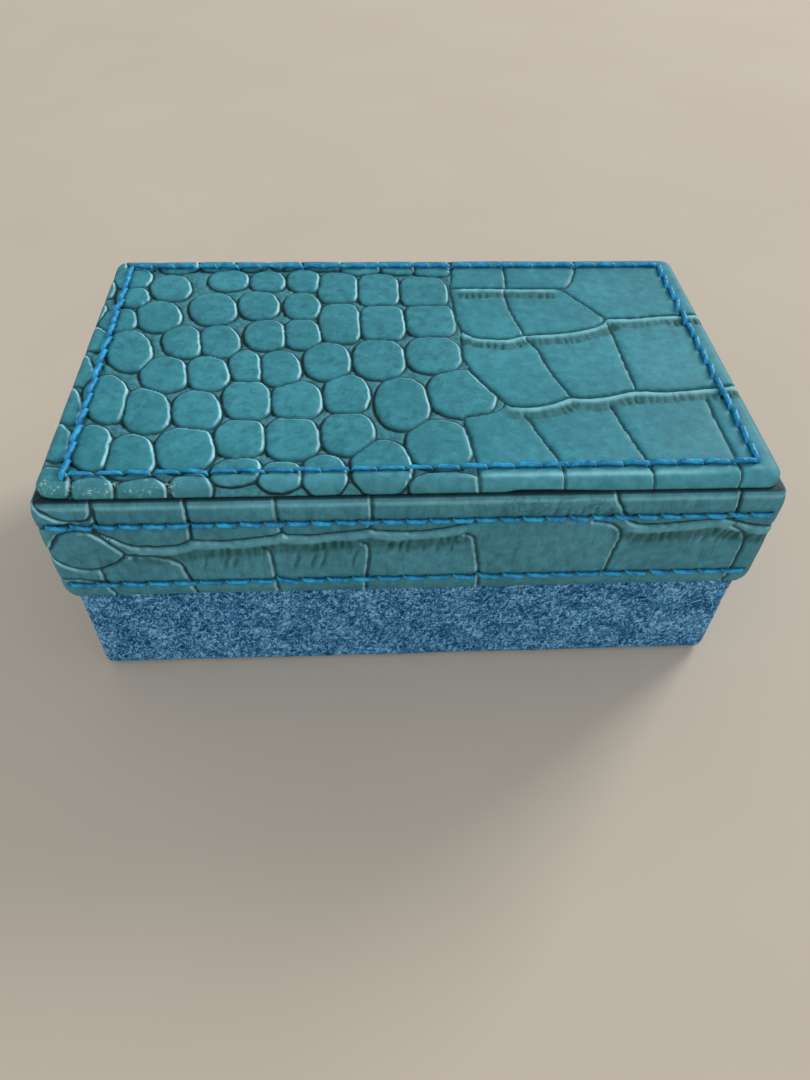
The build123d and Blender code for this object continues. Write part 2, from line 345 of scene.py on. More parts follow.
# Plain creases between belly scales
belly_short_creases = [
    [(29, 19.9), (30, 20.1), (31.3, 22), (32.3, 24.5), (33, 27), (33.4, 36)],
    [(28.7, 19.9), (29.6, 18.9), (31, 16.6), (33, 13.5), (35, 10.2)],
    [(19.7, 36), (19.4, 24), (19, 20)],
    [(18.6, 19), (18.6, 14), (19.4, 9), (20.2, 5.2)],
    [(20.3, 4.2), (21.8, 0.5), (22.3, -3), (23.5, -7.5), (25, -12)],
    [(35.2, 8.4), (35.4, 3), (35.5, -4), (35.6, -10.5)],
    [(17, -16.4), (17.7, -18.3), (18.6, -21.5), (19.8, -25), (20.6, -28), (20.8, -36)],
    [(30.7, -14.4), (31.2, -18), (32.2, -23), (33.2, -28), (33.9, -36)],
    [(46.2, -13), (46, -18), (46.2, -28), (45.7, -36)],
]


def folds(long_creases, squeeze, seed, x, y):
    """Height of the folds in front of long creases, with their ridges, pleats and rough zone."""
    height, ridge, pleat, rough = np.zeros((4, *np.shape(x)))
    for number, line in enumerate(long_creases):
        distance, side, along, length = crease_line(line, x, y)
        front = np.where(side > 0, distance * squeeze, 0)
        fold = pleated_fold(front, along, length, seed + 3 * number)
        height += (side > 0) * fold[0]
        ridge = np.maximum(ridge, (side > 0) * fold[1])
        pleat = np.maximum(pleat, (side > 0) * fold[2])
        ends = ease(0, 2, along) * ease(0, 2, length - along)
        rough = np.maximum(rough, (side > 0) * ends * ease(1.0, 1.6, front) * ease(3.6, 2.0, front))
    return height, ridge, pleat, rough


def panel_lean(x):
    """How far a round scale's long axis leans: more towards the left edge."""
    return radians(np.interp(x, [-40, -30, -25, -15, -8], [19, 15, 12, 6, 0]))


def panel_corner(x, y):
    """How square a round scale is: an oval, or a rounded square near the middle of the back."""
    return 3.2 if x > -16 and y > 2.5 else 2.3


def panel_fields(x, y):
    """The top panel's emboss at flat points: its edge field, its height and the layers its finish reads."""
    warp_x, warp_y = wavering(x, y, 81)
    edge_y = [-point[1] for point in belly_edge]
    edge_x = [point[0] for point in belly_edge]
    on_belly = warp_x > np.interp(-warp_y, edge_y, edge_x)
    belly_border = crease_distance([belly_edge], warp_x, warp_y)

    nearest, second, upright = round_scales(panel_scales, warp_x, warp_y)
    flank = np.where(nearest > 0, soft_least(nearest, (nearest - second) / 2, 0.35), nearest)
    flank = np.minimum(flank, np.maximum(belly_border - 0.1, 0))
    strength = cross_share + (1 - cross_share) * upright

    fold, ridge, pleat, rough = folds(belly_long_creases, 0.85, 40, warp_x, warp_y)
    short = leaning_crease(belly_short_creases, warp_x, warp_y)
    belly = crease_distance([belly_edge] + belly_long_creases, warp_x, warp_y)
    belly = np.maximum(np.minimum(belly, short) - 0.1, 0)
    edge = np.where(on_belly, belly, flank)
    strength = np.where(on_belly, belly_share, strength)
    height = relief(edge, strength, np.where(on_belly, fold, 0))
    return edge, height, {
        "strength": strength,
        "pucker": np.where(on_belly, 0.4 * rough, 0.6 * ease(0.15, 0.6, -flank)),
        "ridge": np.where(on_belly, ridge, 0),
        "pleat": np.where(on_belly, pleat, 0),
        "grained": np.where(on_belly, 0.35, 1),
    }


def facing(distance_at, heading, x, y):
    """How far the flank of a scale faces this way, from -1 to 1."""
    probe = 0.12
    here = distance_at(x, y)
    slope_x = (distance_at(x + probe, y) - distance_at(x - probe, y)) / (2 * probe)
    slope_y = (distance_at(x, y + probe) - distance_at(x, y - probe)) / (2 * probe)
    return -(cos(heading) * slope_x + sin(heading) * slope_y) * (here < 1.2)


def settle_on_creases(x, y, distance_at, step):
    """Moves grid points that lie close to a crease onto it, so that the crease is a clean line."""
    probe = 0.02
    here = np.abs(distance_at(x, y))
    slope_x = (np.abs(distance_at(x + probe, y)) - here) / probe
    slope_y = (np.abs(distance_at(x, y + probe)) - here) / probe
    steepness = np.maximum(slope_x ** 2 + slope_y ** 2, 0.25)
    close = (here < 0.5 * step) & (here > 0)
    move = np.where(close, here, 0) / steepness
    limit = 0.45 * step
    return x - np.clip(move * slope_x, -limit, limit), y - np.clip(move * slope_y, -limit, limit)


# Making sheets: a grid that is bent over an outline, then turned in at its edges


def flat_grid(columns, rows):
    """A grid as a bmesh, with the column and the row of each of its points."""
    bm = bmesh.new()
    bmesh.ops.create_grid(bm, x_segments=columns - 1, y_segments=rows - 1, size=1)
    flat = np.array([vert.co for vert in bm.verts])
    column = np.rint((flat[:, 0] + 1) / 2 * (columns - 1)).astype(int)
    row = np.rint((flat[:, 1] + 1) / 2 * (rows - 1)).astype(int)
    return bm, column, row


def place_points(bm, points):
    """Puts each point of a bmesh where the list says, in millimetres."""
    for vert, point in zip(bm.verts, points):
        vert.co = Vector(point) * MM


def note_on_points(bm, **fields):
    """Keeps fields on a bmesh's points as named layers that a finish can read."""
    for name, values in fields.items():
        layer = bm.verts.layers.float.new(name)
        for vert, value in zip(bm.verts, values):
            vert[layer] = float(value)


def keep_home(bm, x, y):
    """Keeps, for each point, the place on the outer plan that its edge is turned in from."""
    home = bm.verts.layers.float_vector.new("home")
    for vert, home_x, home_y in zip(bm.verts, x, y):
        vert[home] = Vector((home_x, home_y, 0)) * MM


def turn_in(bm, edges, half_x, half_y, radius, turns):
    """Carries an open edge through turns of (inset, height) in a rounded plan, and gives the last edges."""
    home = bm.verts.layers.float_vector["home"]
    for inset, height in turns:
        made = bmesh.ops.extrude_edge_only(bm, edges=edges)["geom"]
        edges = [item for item in made if isinstance(item, bmesh.types.BMEdge)]
        round_left = max(radius - inset, 0) * MM
        core_x = (half_x - inset) * MM - round_left
        core_y = (half_y - inset) * MM - round_left
        for vert in (item for item in made if isinstance(item, bmesh.types.BMVert)):
            start = vert[home]
            core = Vector((min(max(start.x, -core_x), core_x), min(max(start.y, -core_y), core_y)))
            beyond = start.xy - core
            if beyond.length > round_left:
                beyond *= round_left / beyond.length
            vert.co = Vector((*(core + beyond), height * MM))
    return edges


def finish_piece(bm, name, finish, body, replaced):
    """Makes the bmesh a piece that rides on a body and stands for its frame nodes."""
    if "home" in bm.verts.layers.float_vector:
        bm.verts.layers.float_vector.remove(bm.verts.layers.float_vector["home"])
    mesh = bpy.data.meshes.new(name)
    for face in bm.faces:
        face.smooth = True
    bm.to_mesh(mesh)
    bm.free()
    piece = bpy.data.objects.new(name, mesh)
    bpy.context.scene.collection.objects.link(piece)
    mesh.materials.append(finish)
    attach(piece, body)
    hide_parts(*replaced)
    return piece


class Outline:
    """The rounded plan of a wrapped strip. A point is u along it, 0 at the front's middle, right positive.

    Its nine runs are half the back, then corners and sides in turn, and the other half of the back."""

    front_runs = (3, 4, 5)
    back_corners = (1, 7)

    def __init__(self, half_x, half_y, radius):
        self.half_x = half_x
        self.half_y = half_y
        self.radius = radius
        self.side_x = half_x - radius
        self.side_y = half_y - radius
        arc = radius * pi / 2
        runs = [self.side_x - butt_gap / 2, arc, 2 * self.side_y, arc, 2 * self.side_x]
        runs += [arc, 2 * self.side_y, arc, self.side_x - butt_gap / 2]
        self.knots = np.cumsum([0] + runs)
        self.knots -= self.knots[-1] / 2
        left, right, near, far = -self.side_x, self.side_x, -self.side_y, self.side_y
        start, end = -butt_gap / 2, butt_gap / 2
        self.centres_x = [start, left, left, left, left, right, right, right, right, end]
        self.centres_y = [far, far, far, near, near, near, near, far, far, far]
        self.angles = [pi / 2, pi / 2, pi, pi, 3 * pi / 2, 3 * pi / 2, tau, tau, tau + pi / 2, tau + pi / 2]

    def columns(self, front_step, other_step):
        """Places of the columns along the strip, closer together on the front."""
        places = []
        for number, (start, end) in enumerate(zip(self.knots, self.knots[1:])):
            step = front_step if number in self.front_runs else other_step
            if number in self.back_corners:
                step = min(other_step, self.radius * pi / 16)
            count = max(2, round((end - start) / step))
            places += list(np.linspace(start, end, count, endpoint=False))
        return np.array(places + [self.knots[-1]])

    def place(self, u, inset):
        """Plan point at u, this far inside the outline, and the outward direction there."""
        angle = np.interp(u, self.knots, self.angles)
        radius = np.maximum(self.radius - inset, 0)
        reach_x = self.half_x - inset - radius
        reach_y = self.half_y - inset - radius
        x = np.clip(np.interp(u, self.knots, self.centres_x), -reach_x, reach_x)
        y = np.clip(np.interp(u, self.knots, self.centres_y), -reach_y, reach_y)
        return x + radius * np.cos(angle), y + radius * np.sin(angle), np.cos(angle), np.sin(angle)

    def from_corner(self, u):
        """Distance along the strip to its nearest corner."""
        return np.minimum(np.abs(np.abs(u) - self.half_x), np.abs(np.abs(u) - self.knots[-4]))


class Profile:
    """A strip's section, as points (inset, height) from its lower edge up, followed by its length."""

    def __init__(self, points):
        points = np.array(points, float)
        steps = np.hypot(*np.diff(points, axis=0).T)
        self.inset = points[:, 0]
        self.height = points[:, 1]
        self.length = np.concatenate([[0], np.cumsum(steps)])

    def place(self, t):
        """Inset and height at this length, and the outward and upward parts of the surface's normal."""
        inset = np.interp(t, self.length, self.inset)
        height = np.interp(t, self.length, self.height)
        before = t - 0.15
        after = t + 0.15
        rise = np.interp(after, self.length, self.height) - np.interp(before, self.length, self.height)
        draw = np.interp(after, self.length, self.inset) - np.interp(before, self.length, self.inset)
        size = np.maximum(np.hypot(rise, draw), 1e-9)
        return inset, height, rise / size, draw / size


def quarter(centre_inset, centre_height, radius, start, end, steps):
    """Points of a rounded edge: angles in degrees, 180 pointing straight out and 90 up."""
    angles = [radians(start + (end - start) * n / steps) for n in range(steps + 1)]
    return [(centre_inset + radius * cos(a), centre_height + radius * sin(a)) for a in angles]


def row_edges(bm, on_row):
    """The edges that lie along one row of a grid, whose points are marked."""
    verts = list(bm.verts)
    ends = {verts[n] for n in np.flatnonzero(on_row)}
    return [edge for edge in bm.edges if edge.verts[0] in ends and edge.verts[1] in ends]


def wrapped_strip(outline, profile, columns, rows, surface, turns):
    """A strip wrapped round an outline, its ends butted at the back, closed through its hidden turns.

    surface(u, t) gives where its points settle, how far each stands out and the layers to keep on them."""
    bm, column, row = flat_grid(len(columns), len(rows))
    u = columns[column]
    t = rows[row]
    u, t, push, layers = surface(u, t)
    inset, height, out, up = profile.place(t)
    x, y, dir_x, dir_y = outline.place(u, inset)
    points = np.stack([x + dir_x * out * push, y + dir_y * out * push, height + up * push], 1)
    place_points(bm, points)
    note_on_points(bm, **layers)
    keep_home(bm, *outline.place(u, 0)[:2])
    uv = bm.loops.layers.uv.new("UVMap")
    flat = {vert: (u[n] * MM, t[n] * MM) for n, vert in enumerate(bm.verts)}
    for face in bm.faces:
        for loop in face.loops:
            loop[uv].uv = flat[loop.vert]
    top_edges = row_edges(bm, row == len(rows) - 1)
    low_edges = row_edges(bm, row == 0)
    last = turn_in(bm, top_edges, outline.half_x, outline.half_y, outline.radius, turns)
    bmesh.ops.bridge_loops(bm, edges=last + low_edges)
    bmesh.ops.remove_doubles(bm, verts=bm.verts, dist=1e-7)
    open_edges = [edge for edge in bm.edges if edge.is_boundary]
    bmesh.ops.holes_fill(bm, edges=open_edges, sides=0)
    bmesh.ops.recalc_face_normals(bm, faces=bm.faces)
    return bm


# Finishes


class Wire:
    """A value inside a finish. Sums and products of wires and numbers add the finish's maths nodes."""

    def __init__(self, finish, socket):
        self.finish = finish
        self.socket = socket

    def __add__(self, other):
        return self.finish.maths("ADD", self, other)

    def __radd__(self, other):
        return self.finish.maths("ADD", other, self)

    def __sub__(self, other):
        return self.finish.maths("SUBTRACT", self, other)

    def __rsub__(self, other):
        return self.finish.maths("SUBTRACT", other, self)

    def __mul__(self, other):
        return self.finish.maths("MULTIPLY", self, other)

    def __rmul__(self, other):
        return self.finish.maths("MULTIPLY", other, self)


class Finish:
    """A material that is wired up node by node."""

    def __init__(self, name):
        self.material = bpy.data.materials.new(name)
        self.material.use_nodes = True
        self.material.cycles.use_bump_map_correction = False
        self.tree = self.material.node_tree
        self.tree.nodes.clear()

    def node(self, kind, settings, sockets, output=0):
        """A node of this kind, its settings made before its sockets, as the wire of one output."""
        made = self.tree.nodes.new("ShaderNode" + kind)
        for name, value in settings.items():
            setattr(made, name, value)
        for name, value in sockets.items():
            if isinstance(value, Wire):
                self.tree.links.new(value.socket, made.inputs[name])
            else:
                made.inputs[name].default_value = value
        return Wire(self, made.outputs[output]) if len(made.outputs) else made

    def maths(self, operation, *values):
        """One sum or product, of wires and numbers."""
        return self.node("Math", {"operation": operation}, dict(enumerate(values)))

    def between(self, low, high, value):
        """0 below low, 1 above high, smooth between."""
        sockets = {"Value": value, "From Min": low, "From Max": high}
        return self.node("MapRange", {"interpolation_type": "SMOOTHSTEP"}, sockets)

    def mix(self, first, second, share):
        """One colour turned to another by a share."""
        return self.node("Mix", {"data_type": "RGBA"}, {0: share, 6: first, 7: second}, 2)

    def object_place(self):
        """Where a point is on the case."""
        return self.node("TexCoord", {}, {}, "Object")

    def sheet_place(self):
        """Where a point is on its sheet, laid flat."""
        return self.node("TexCoord", {}, {}, "UV")

    def field(self, name):
        """A layer that a piece keeps on its points."""
        return self.node("Attribute", {"attribute_name": name}, {}, "Fac")

    def stretch(self, place, along):
        """A place multiplied along each axis, so that a pattern on it is that much finer."""
        return self.node("VectorMath", {"operation": "MULTIPLY"}, {0: place, 1: along})

    def slant(self, place, angle):
        """A place turned by an angle about Z."""
        return self.node("VectorRotate", {"rotation_type": "Z_AXIS"}, {"Vector": place, "Angle": angle})

    def noise(self, place, size, detail=2.0, roughness=0.5, swirl=0.0):
        """Soft noise whose grains are about this size in millimetres."""
        sockets = {"Vector": place, "Scale": 1 / (size * MM), "Detail": detail, "Roughness": roughness}
        sockets["Distortion"] = swirl
        return self.node("TexNoise", {}, sockets)

    def bump(self, height, depth, under=None):
        """Relief of this depth in millimetres, on top of another relief if there is one."""
        sockets = {"Height": height, "Distance": depth * MM, "Strength": 1.0}
        if under:
            sockets["Normal"] = under
        return self.node("Bump", {}, sockets)

    def laid_over(self, tone, shades):
        """A colour with others laid over it in turn, each by its share."""
        for shade, share in shades:
            tone = self.mix(tone, colour(shade), share)
        return tone

    def reliefs(self, layers):
        """Reliefs of (height, depth in millimetres), each on top of the one before."""
        normal = None
        for height, depth in layers:
            normal = self.bump(height, depth, normal)
        return normal

    def surface(self, **sockets):
        """The shader: what changes over the surface is a wire, and what is even all over is a number."""
        names = {name.replace("_", " "): value for name, value in sockets.items()}
        shader = self.node("BsdfPrincipled", {}, names, "BSDF")
        self.node("OutputMaterial", {}, {"Surface": shader})
        return self.material


def colour(code):
    """A colour as it is written, such as 43828A, in the shader's linear values."""
    parts = [int(code[n:n + 2], 16) / 255 for n in (0, 2, 4)]
    linear = [part / 12.92 if part <= 0.04045 else ((part + 0.055) / 1.055) ** 2.4 for part in parts]
    return (*linear, 1.0)


# Shades of the leather: painted highlights on ridges, shine lines and rims facing the light, painted shade
# in creases, pleats, needle holes and seams and on flanks facing away, real wear with painted glints, olive
# roughness, and the rim of a gap between scales
painted_ridge_highlight = "86CCD4"
painted_shine_shade = "8CD2DC"
painted_rim_highlight = "A8E4EE"
gap_rim_shade = "7CC2CE"
painted_flank_shade = "0E3238"
painted_crease_shade = "0A2220"
painted_pleat_shade = "164640"
olive_shade = "6E7448"
wear_and_glint_shade = "B2D2CA"
painted_hole_and_seam_shade = "0A1A1E"


def leather_finish(name, main, light, deep, streak):
    """Embossed leather: dyed through, with painted shade in its creases and on flanks facing away from the
    light, painted highlights on rims facing it, and olive where it is rough.

    The streak is how much finer its wrinkles are along each axis."""
    finish = Finish(name)
    place = finish.object_place()
    edge = finish.field("edge")
    strength = finish.field("strength")
    pucker = finish.field("pucker")
    flank = finish.field("facing")
    grained = finish.field("grained")
    outside = 0 - edge
    near = (1 - finish.between(0.05, 0.55, edge)) * finish.between(-0.6, -0.1, edge) * strength
    # Painted shade along the bottom of each crease
    line = (1 - finish.between(0.0, 0.2, edge)) * finish.between(-0.6, -0.15, edge) * strength
    rim = finish.between(0.03, 0.2, edge) * (1 - finish.between(0.3, 0.6, edge))
    gap_rim = finish.between(0.12, 0.25, outside) * (1 - finish.between(0.35, 0.55, outside))
    gap = finish.between(0.1, 0.5, outside)
    # Painted highlight on the rims of flanks that face the light
    lit_rim = rim * finish.between(0.1, 0.8, flank)
    # Painted shade on flanks that face away from the light, near a crease
    shaded_flank = near * finish.between(-0.1, 0.7, 0 - flank)
    cloud = finish.noise(place, 16.0, 3.0)
    mottle = finish.noise(place, 1.6, 4.0, 0.6)
    wrinkle = finish.noise(finish.stretch(place, streak), 2.0, 4.0, 0.6, 0.6)
    grain = finish.noise(place, 0.22, 3.0, 0.6)
    pebbles = finish.noise(place, 0.7, 3.0, 0.7)
    uneven = finish.between(0.32, 0.62, finish.noise(place, 3.2, 2.0))
    specks = finish.between(0.52, 0.64, finish.noise(place, 0.45, 2.0, 0.7))
    # Real wear and painted glints: pale specks on the left of the front roll
    wear_and_glints = finish.field("wear_and_glints") * specks * finish.between(0.44, 0.56, mottle)
    tone = finish.mix(colour(main), colour(light), finish.between(0.35, 0.7, cloud * 0.4 + mottle * 0.6))
    tone = finish.laid_over(tone, (
        (deep, finish.between(0.46, 0.72, wrinkle) * grained * 0.4),
        # painted highlight on the ridge in front of a long crease
        (painted_ridge_highlight, finish.field("ridge") * (0.6 + uneven * 0.4) * 0.8),
        # painted highlight: paler front roll and shine lines
        (painted_shine_shade, finish.field("painted_shine") * (0.2 + mottle * 0.6)),
        # painted highlight on rims facing the light
        (painted_rim_highlight, lit_rim * strength * (0.45 + grained * 0.55) * (0.55 + uneven * 0.45)),
        # painted shade on flanks facing away from the light
        (painted_flank_shade, shaded_flank * 0.85),
        (light, gap * finish.between(0.4, 0.6, wrinkle) * 0.8),
        (gap_rim_shade, gap_rim * (0.15 + uneven * 0.5)),
        # painted shade in the creases
        (painted_crease_shade, line * 0.88),
        # painted shade in the pleat troughs
        (painted_pleat_shade, finish.field("pleat") * 0.9),
        (deep, pucker * finish.between(0.45, 0.58, pebbles) * 0.6),
        (olive_shade, pucker * specks * 0.4),
        # real wear and painted glints
        (wear_and_glint_shade, wear_and_glints),
        # painted shade in needle holes and the stitch channel, and painted shadow lines at seams
        (painted_hole_and_seam_shade, finish.field("hole")),
    ))
    normal = finish.reliefs((
        (finish.between(0.0, 0.35, edge) * strength, 0.12),
        (pebbles * (pucker + 0.05), 0.6),
        (wrinkle * grained, 0.10),
        (grain * grained, 0.04),
    ))
    return finish.surface(
        Base_Color=tone,
        Roughness=0.5 + mottle * 0.12 + near * 0.15 - lit_rim * 0.1,
        Specular_IOR_Level=0.16,
        Normal=normal,
    )


def suede_finish(name, dark, main, light):
    """Brushed suede: a mottled nap whose short slanted flecks catch the light."""
    finish = Finish(name)
    place = finish.sheet_place()
    leaning = finish.stretch(finish.slant(place, radians(20)), (1.35, 1.0, 1.0))
    finer = finish.stretch(finish.slant(place, radians(25)), (2.2, 1.0, 1.0))
    flecks = finish.noise(leaning, 0.95, 3.0, 0.8, 1.0)
    fibre = finish.noise(finer, 0.45, 3.0, 0.7, 1.0)
    nap = flecks * 0.5 + fibre * 0.35 + finish.noise(place, 5.0, 3.0, 0.6) * 0.15
    tone = finish.mix(colour(dark), colour(main), finish.between(0.41, 0.52, nap))
    tone = finish.mix(tone, colour(light), finish.between(0.49, 0.59, nap) * 0.9)
    return finish.surface(
        Base_Color=tone,
        Roughness=0.9,
        Specular_IOR_Level=0.1,
        Sheen_Weight=0.2,
        Sheen_Roughness=0.5,
        Sheen_Tint=colour("8FBBE0"),
        Normal=finish.reliefs(((flecks, 0.3), (fibre, 0.15))),
    )


def soft_finish(name, dark, light, grain_size=0.5):
    """Short-napped cloth: a fine even grain with faint brushed patches."""
    finish = Finish(name)
    place = finish.object_place()
    patch = finish.noise(place, 9.0, 3.0, 0.6)
    grain = finish.noise(place, grain_size, 3.0, 0.7)
    tone = finish.mix(colour(dark), colour(light), finish.between(0.3, 0.72, patch * 0.45 + grain * 0.55))
    return finish.surface(
        Base_Color=tone,
        Roughness=0.92,
        Specular_IOR_Level=0.12,
        Sheen_Weight=0.35,
        Sheen_Roughness=0.45,
        Normal=finish.bump(grain, 0.08),
    )


def board_finish():
    """Grey millboard: pale grey pulp with darker fibres, and a faint mill direction."""
    finish = Finish("greyboard_finish")
    place = finish.object_place()
    pulp = finish.noise(finish.stretch(place, (1.0, 3.0, 1.0)), 1.4, 4.0, 0.7)
    fibre = finish.between(0.62, 0.7, finish.noise(place, 0.5, 2.0))
    tone = finish.mix(colour("8D8A82"), colour("A8A49A"), pulp)
    tone = finish.mix(tone, colour("5F5B54"), fibre * 0.6)
    return finish.surface(
        Base_Color=tone,
        Roughness=0.85 + pulp * 0.1,
        Normal=finish.bump(pulp, 0.05),
    )


def foam_finish():
    """Open-cell foam: fine dark pores in an off-white sheet."""
    finish = Finish("foam_finish")
    place = finish.object_place()
    cells = finish.node("TexVoronoi", {}, {"Vector": place, "Scale": 1 / (0.5 * MM)})
    pores = finish.between(0.15, 0.45, cells)
    tone = finish.mix(colour("B7AE9A"), colour("DDD6C6"), pores)
    return finish.surface(Base_Color=tone, Roughness=0.9, Normal=finish.bump(pores, 0.1))


def thread_finish():
    """Twisted polyester thread: bright blue, with finer fibres along its lay."""
    finish = Finish("thread_finish")
    place = finish.object_place()
    fibre = finish.noise(place, 0.18, 2.0, 0.6)
    lay = finish.noise(place, 1.6, 2.0)
    tone = finish.mix(colour("00609A"), colour("28B8EA"), finish.between(0.3, 0.7, fibre * 0.5 + lay * 0.5))
    return finish.surface(
        Base_Color=tone,
        Roughness=0.34 + fibre * 0.2,
        Specular_IOR_Level=0.38,
        Normal=finish.bump(fibre, 0.05),
    )


panel_leather = leather_finish("panel_leather_finish", "317C88", "4396A4", "1D4F5A", (1.5, 1.3, 1.0))
band_leather = leather_finish("band_leather_finish", "3D7A86", "5296A4", "204C55", (2.6, 2.6, 0.5))
suede = suede_finish("suede_finish", "08243F", "2878AC", "A0DAF6")
sheet_suede = soft_finish("sheet_suede_finish", "285A88", "3B74A6")
lining_cloth = soft_finish("lining_finish", "2E5573", "3E6C8E")
roll_cloth = soft_finish("roll_fabric_finish", "35617F", "487B9C", 0.4)
greyboard = board_finish()
foam = foam_finish()
thread = thread_finish()

slot_finishes = {
    "embossed_leather": panel_leather,
    "suede": suede,
    "sheet_suede": sheet_suede,
    "thread": thread,
    "greyboard": greyboard,
    "lining": lining_cloth,
    "roll_fabric": roll_cloth,
    "foam": foam,
}


def dress_frame_nodes():
    """Gives every frame node the finish of its slot."""
    slots = {row["node"]: row["material_slot"] for row in frame["record"]["subparts"]}
    for name, node in frame["nodes"].items():
        node.data.materials.clear()
        node.data.materials.append(slot_finishes[slots[name]])


# Stitching. A stitch is its two ends in a sheet's flat coordinates, and a needle hole lies at each.

half_thread = 0.4
panel_side = panel_stitch_high.x - half_thread
panel_front = panel_stitch_low.y + half_thread
panel_back = panel_stitch_high.y - half_thread
panel_stitch_pitch = 3.9
upper_row = (upper_stitch_low.z + upper_stitch_high.z) / 2
lower_row = (lower_stitch_low.z + lower_stitch_high.z) / 2
upper_pitch = 3.4
lower_pitch = 3.85
hole_gap = 0.24
hole_radius = 0.5
hole_depth = 0.28
row_half_width = 0.55
row_depth = 0.14


def stitch_ends(start, end, pitch):
    """Ends of the stitches along a straight row, evenly spread."""
    start = np.array(start, float)
    end = np.array(end, float)
    length = np.linalg.norm(end - start)
    count = round(length / pitch)
    way = (end - start) / count
    margin = way / np.linalg.norm(way) * hole_gap / 2
    return [(start + n * way + margin, start + (n + 1) * way - margin) for n in range(count)]


# The front row slants a little, and the left row leans in and runs past it
front_row_start = (-panel_side + 0.9, panel_front - 0.2)
left_row_end = (-panel_side + 0.6, panel_front - 1.1)
panel_row_ends = [
    front_row_start, (panel_side, panel_front + 0.25), (panel_side, panel_back), (-panel_side, panel_back),
    left_row_end,
]
panel_stitches = []
for row_start, row_end in zip(panel_row_ends, panel_row_ends[1:]):
    panel_stitches += stitch_ends(row_start, row_end, panel_stitch_pitch)


def pull_in(x, y, stitches):
    """How near flat points are to the channel of a row, and to a needle hole, each from 0 to 1."""
    row = np.full(np.shape(x), 1e3)
    holes = np.full(np.shape(x), 1e3)
    for start, end in stitches:
        row = np.minimum(row, crease_line([start, end], x, y)[0])
        for hole in (start, end):
            holes = np.minimum(holes, np.hypot(x - hole[0], y - hole[1]))
    channel = np.exp(-(row / row_half_width) ** 2)
    hole = ease(hole_radius, 0.1, holes)
    return channel, hole


# The top panel

panel_rim = panel_corner_radius - panel_roll_radius
panel_upright = panel_high.z - panel_low.z - panel_roll_radius - panel_foot_radius


def panel_profile(t):
    """Along the panel's edge, past the flat top: how far out and down, and the surface's normal there."""
    quarter_turn = panel_roll_radius * pi / 2
    roll = np.clip(t / panel_roll_radius, 0, pi / 2)
    down = np.clip(t - quarter_turn, 0, panel_upright)
    foot = np.clip((t - quarter_turn - panel_upright) / panel_foot_radius, 0, pi / 2)
    out = panel_roll_radius * np.sin(roll) - panel_foot_radius * (1 - np.cos(foot))
    fall = panel_roll_radius * (1 - np.cos(roll)) + down + panel_foot_radius * np.sin(foot)
    return out, fall, np.sin(roll) * np.cos(foot), np.cos(roll) - np.sin(foot)


def seam_lift(x, y):
    """How far the panel's foot stands off the band, at one place on the front and at its left corner."""
    front = ease(-28, -30, y)
    gap = 0.42 * ease(12.0, 14.5, x) * ease(30, 16, x)
    corner = 0.5 * ease(-46.5, -52, x)
    return front * (gap + corner)


# How deep the panel's surface may be pushed in, which is less than its leather's thickness
push_limit = 0.66

# The painted shine line along the front roll: how far down the roll it lies, and how wide it is
shine_place = 1.3
shine_half_width = 0.35


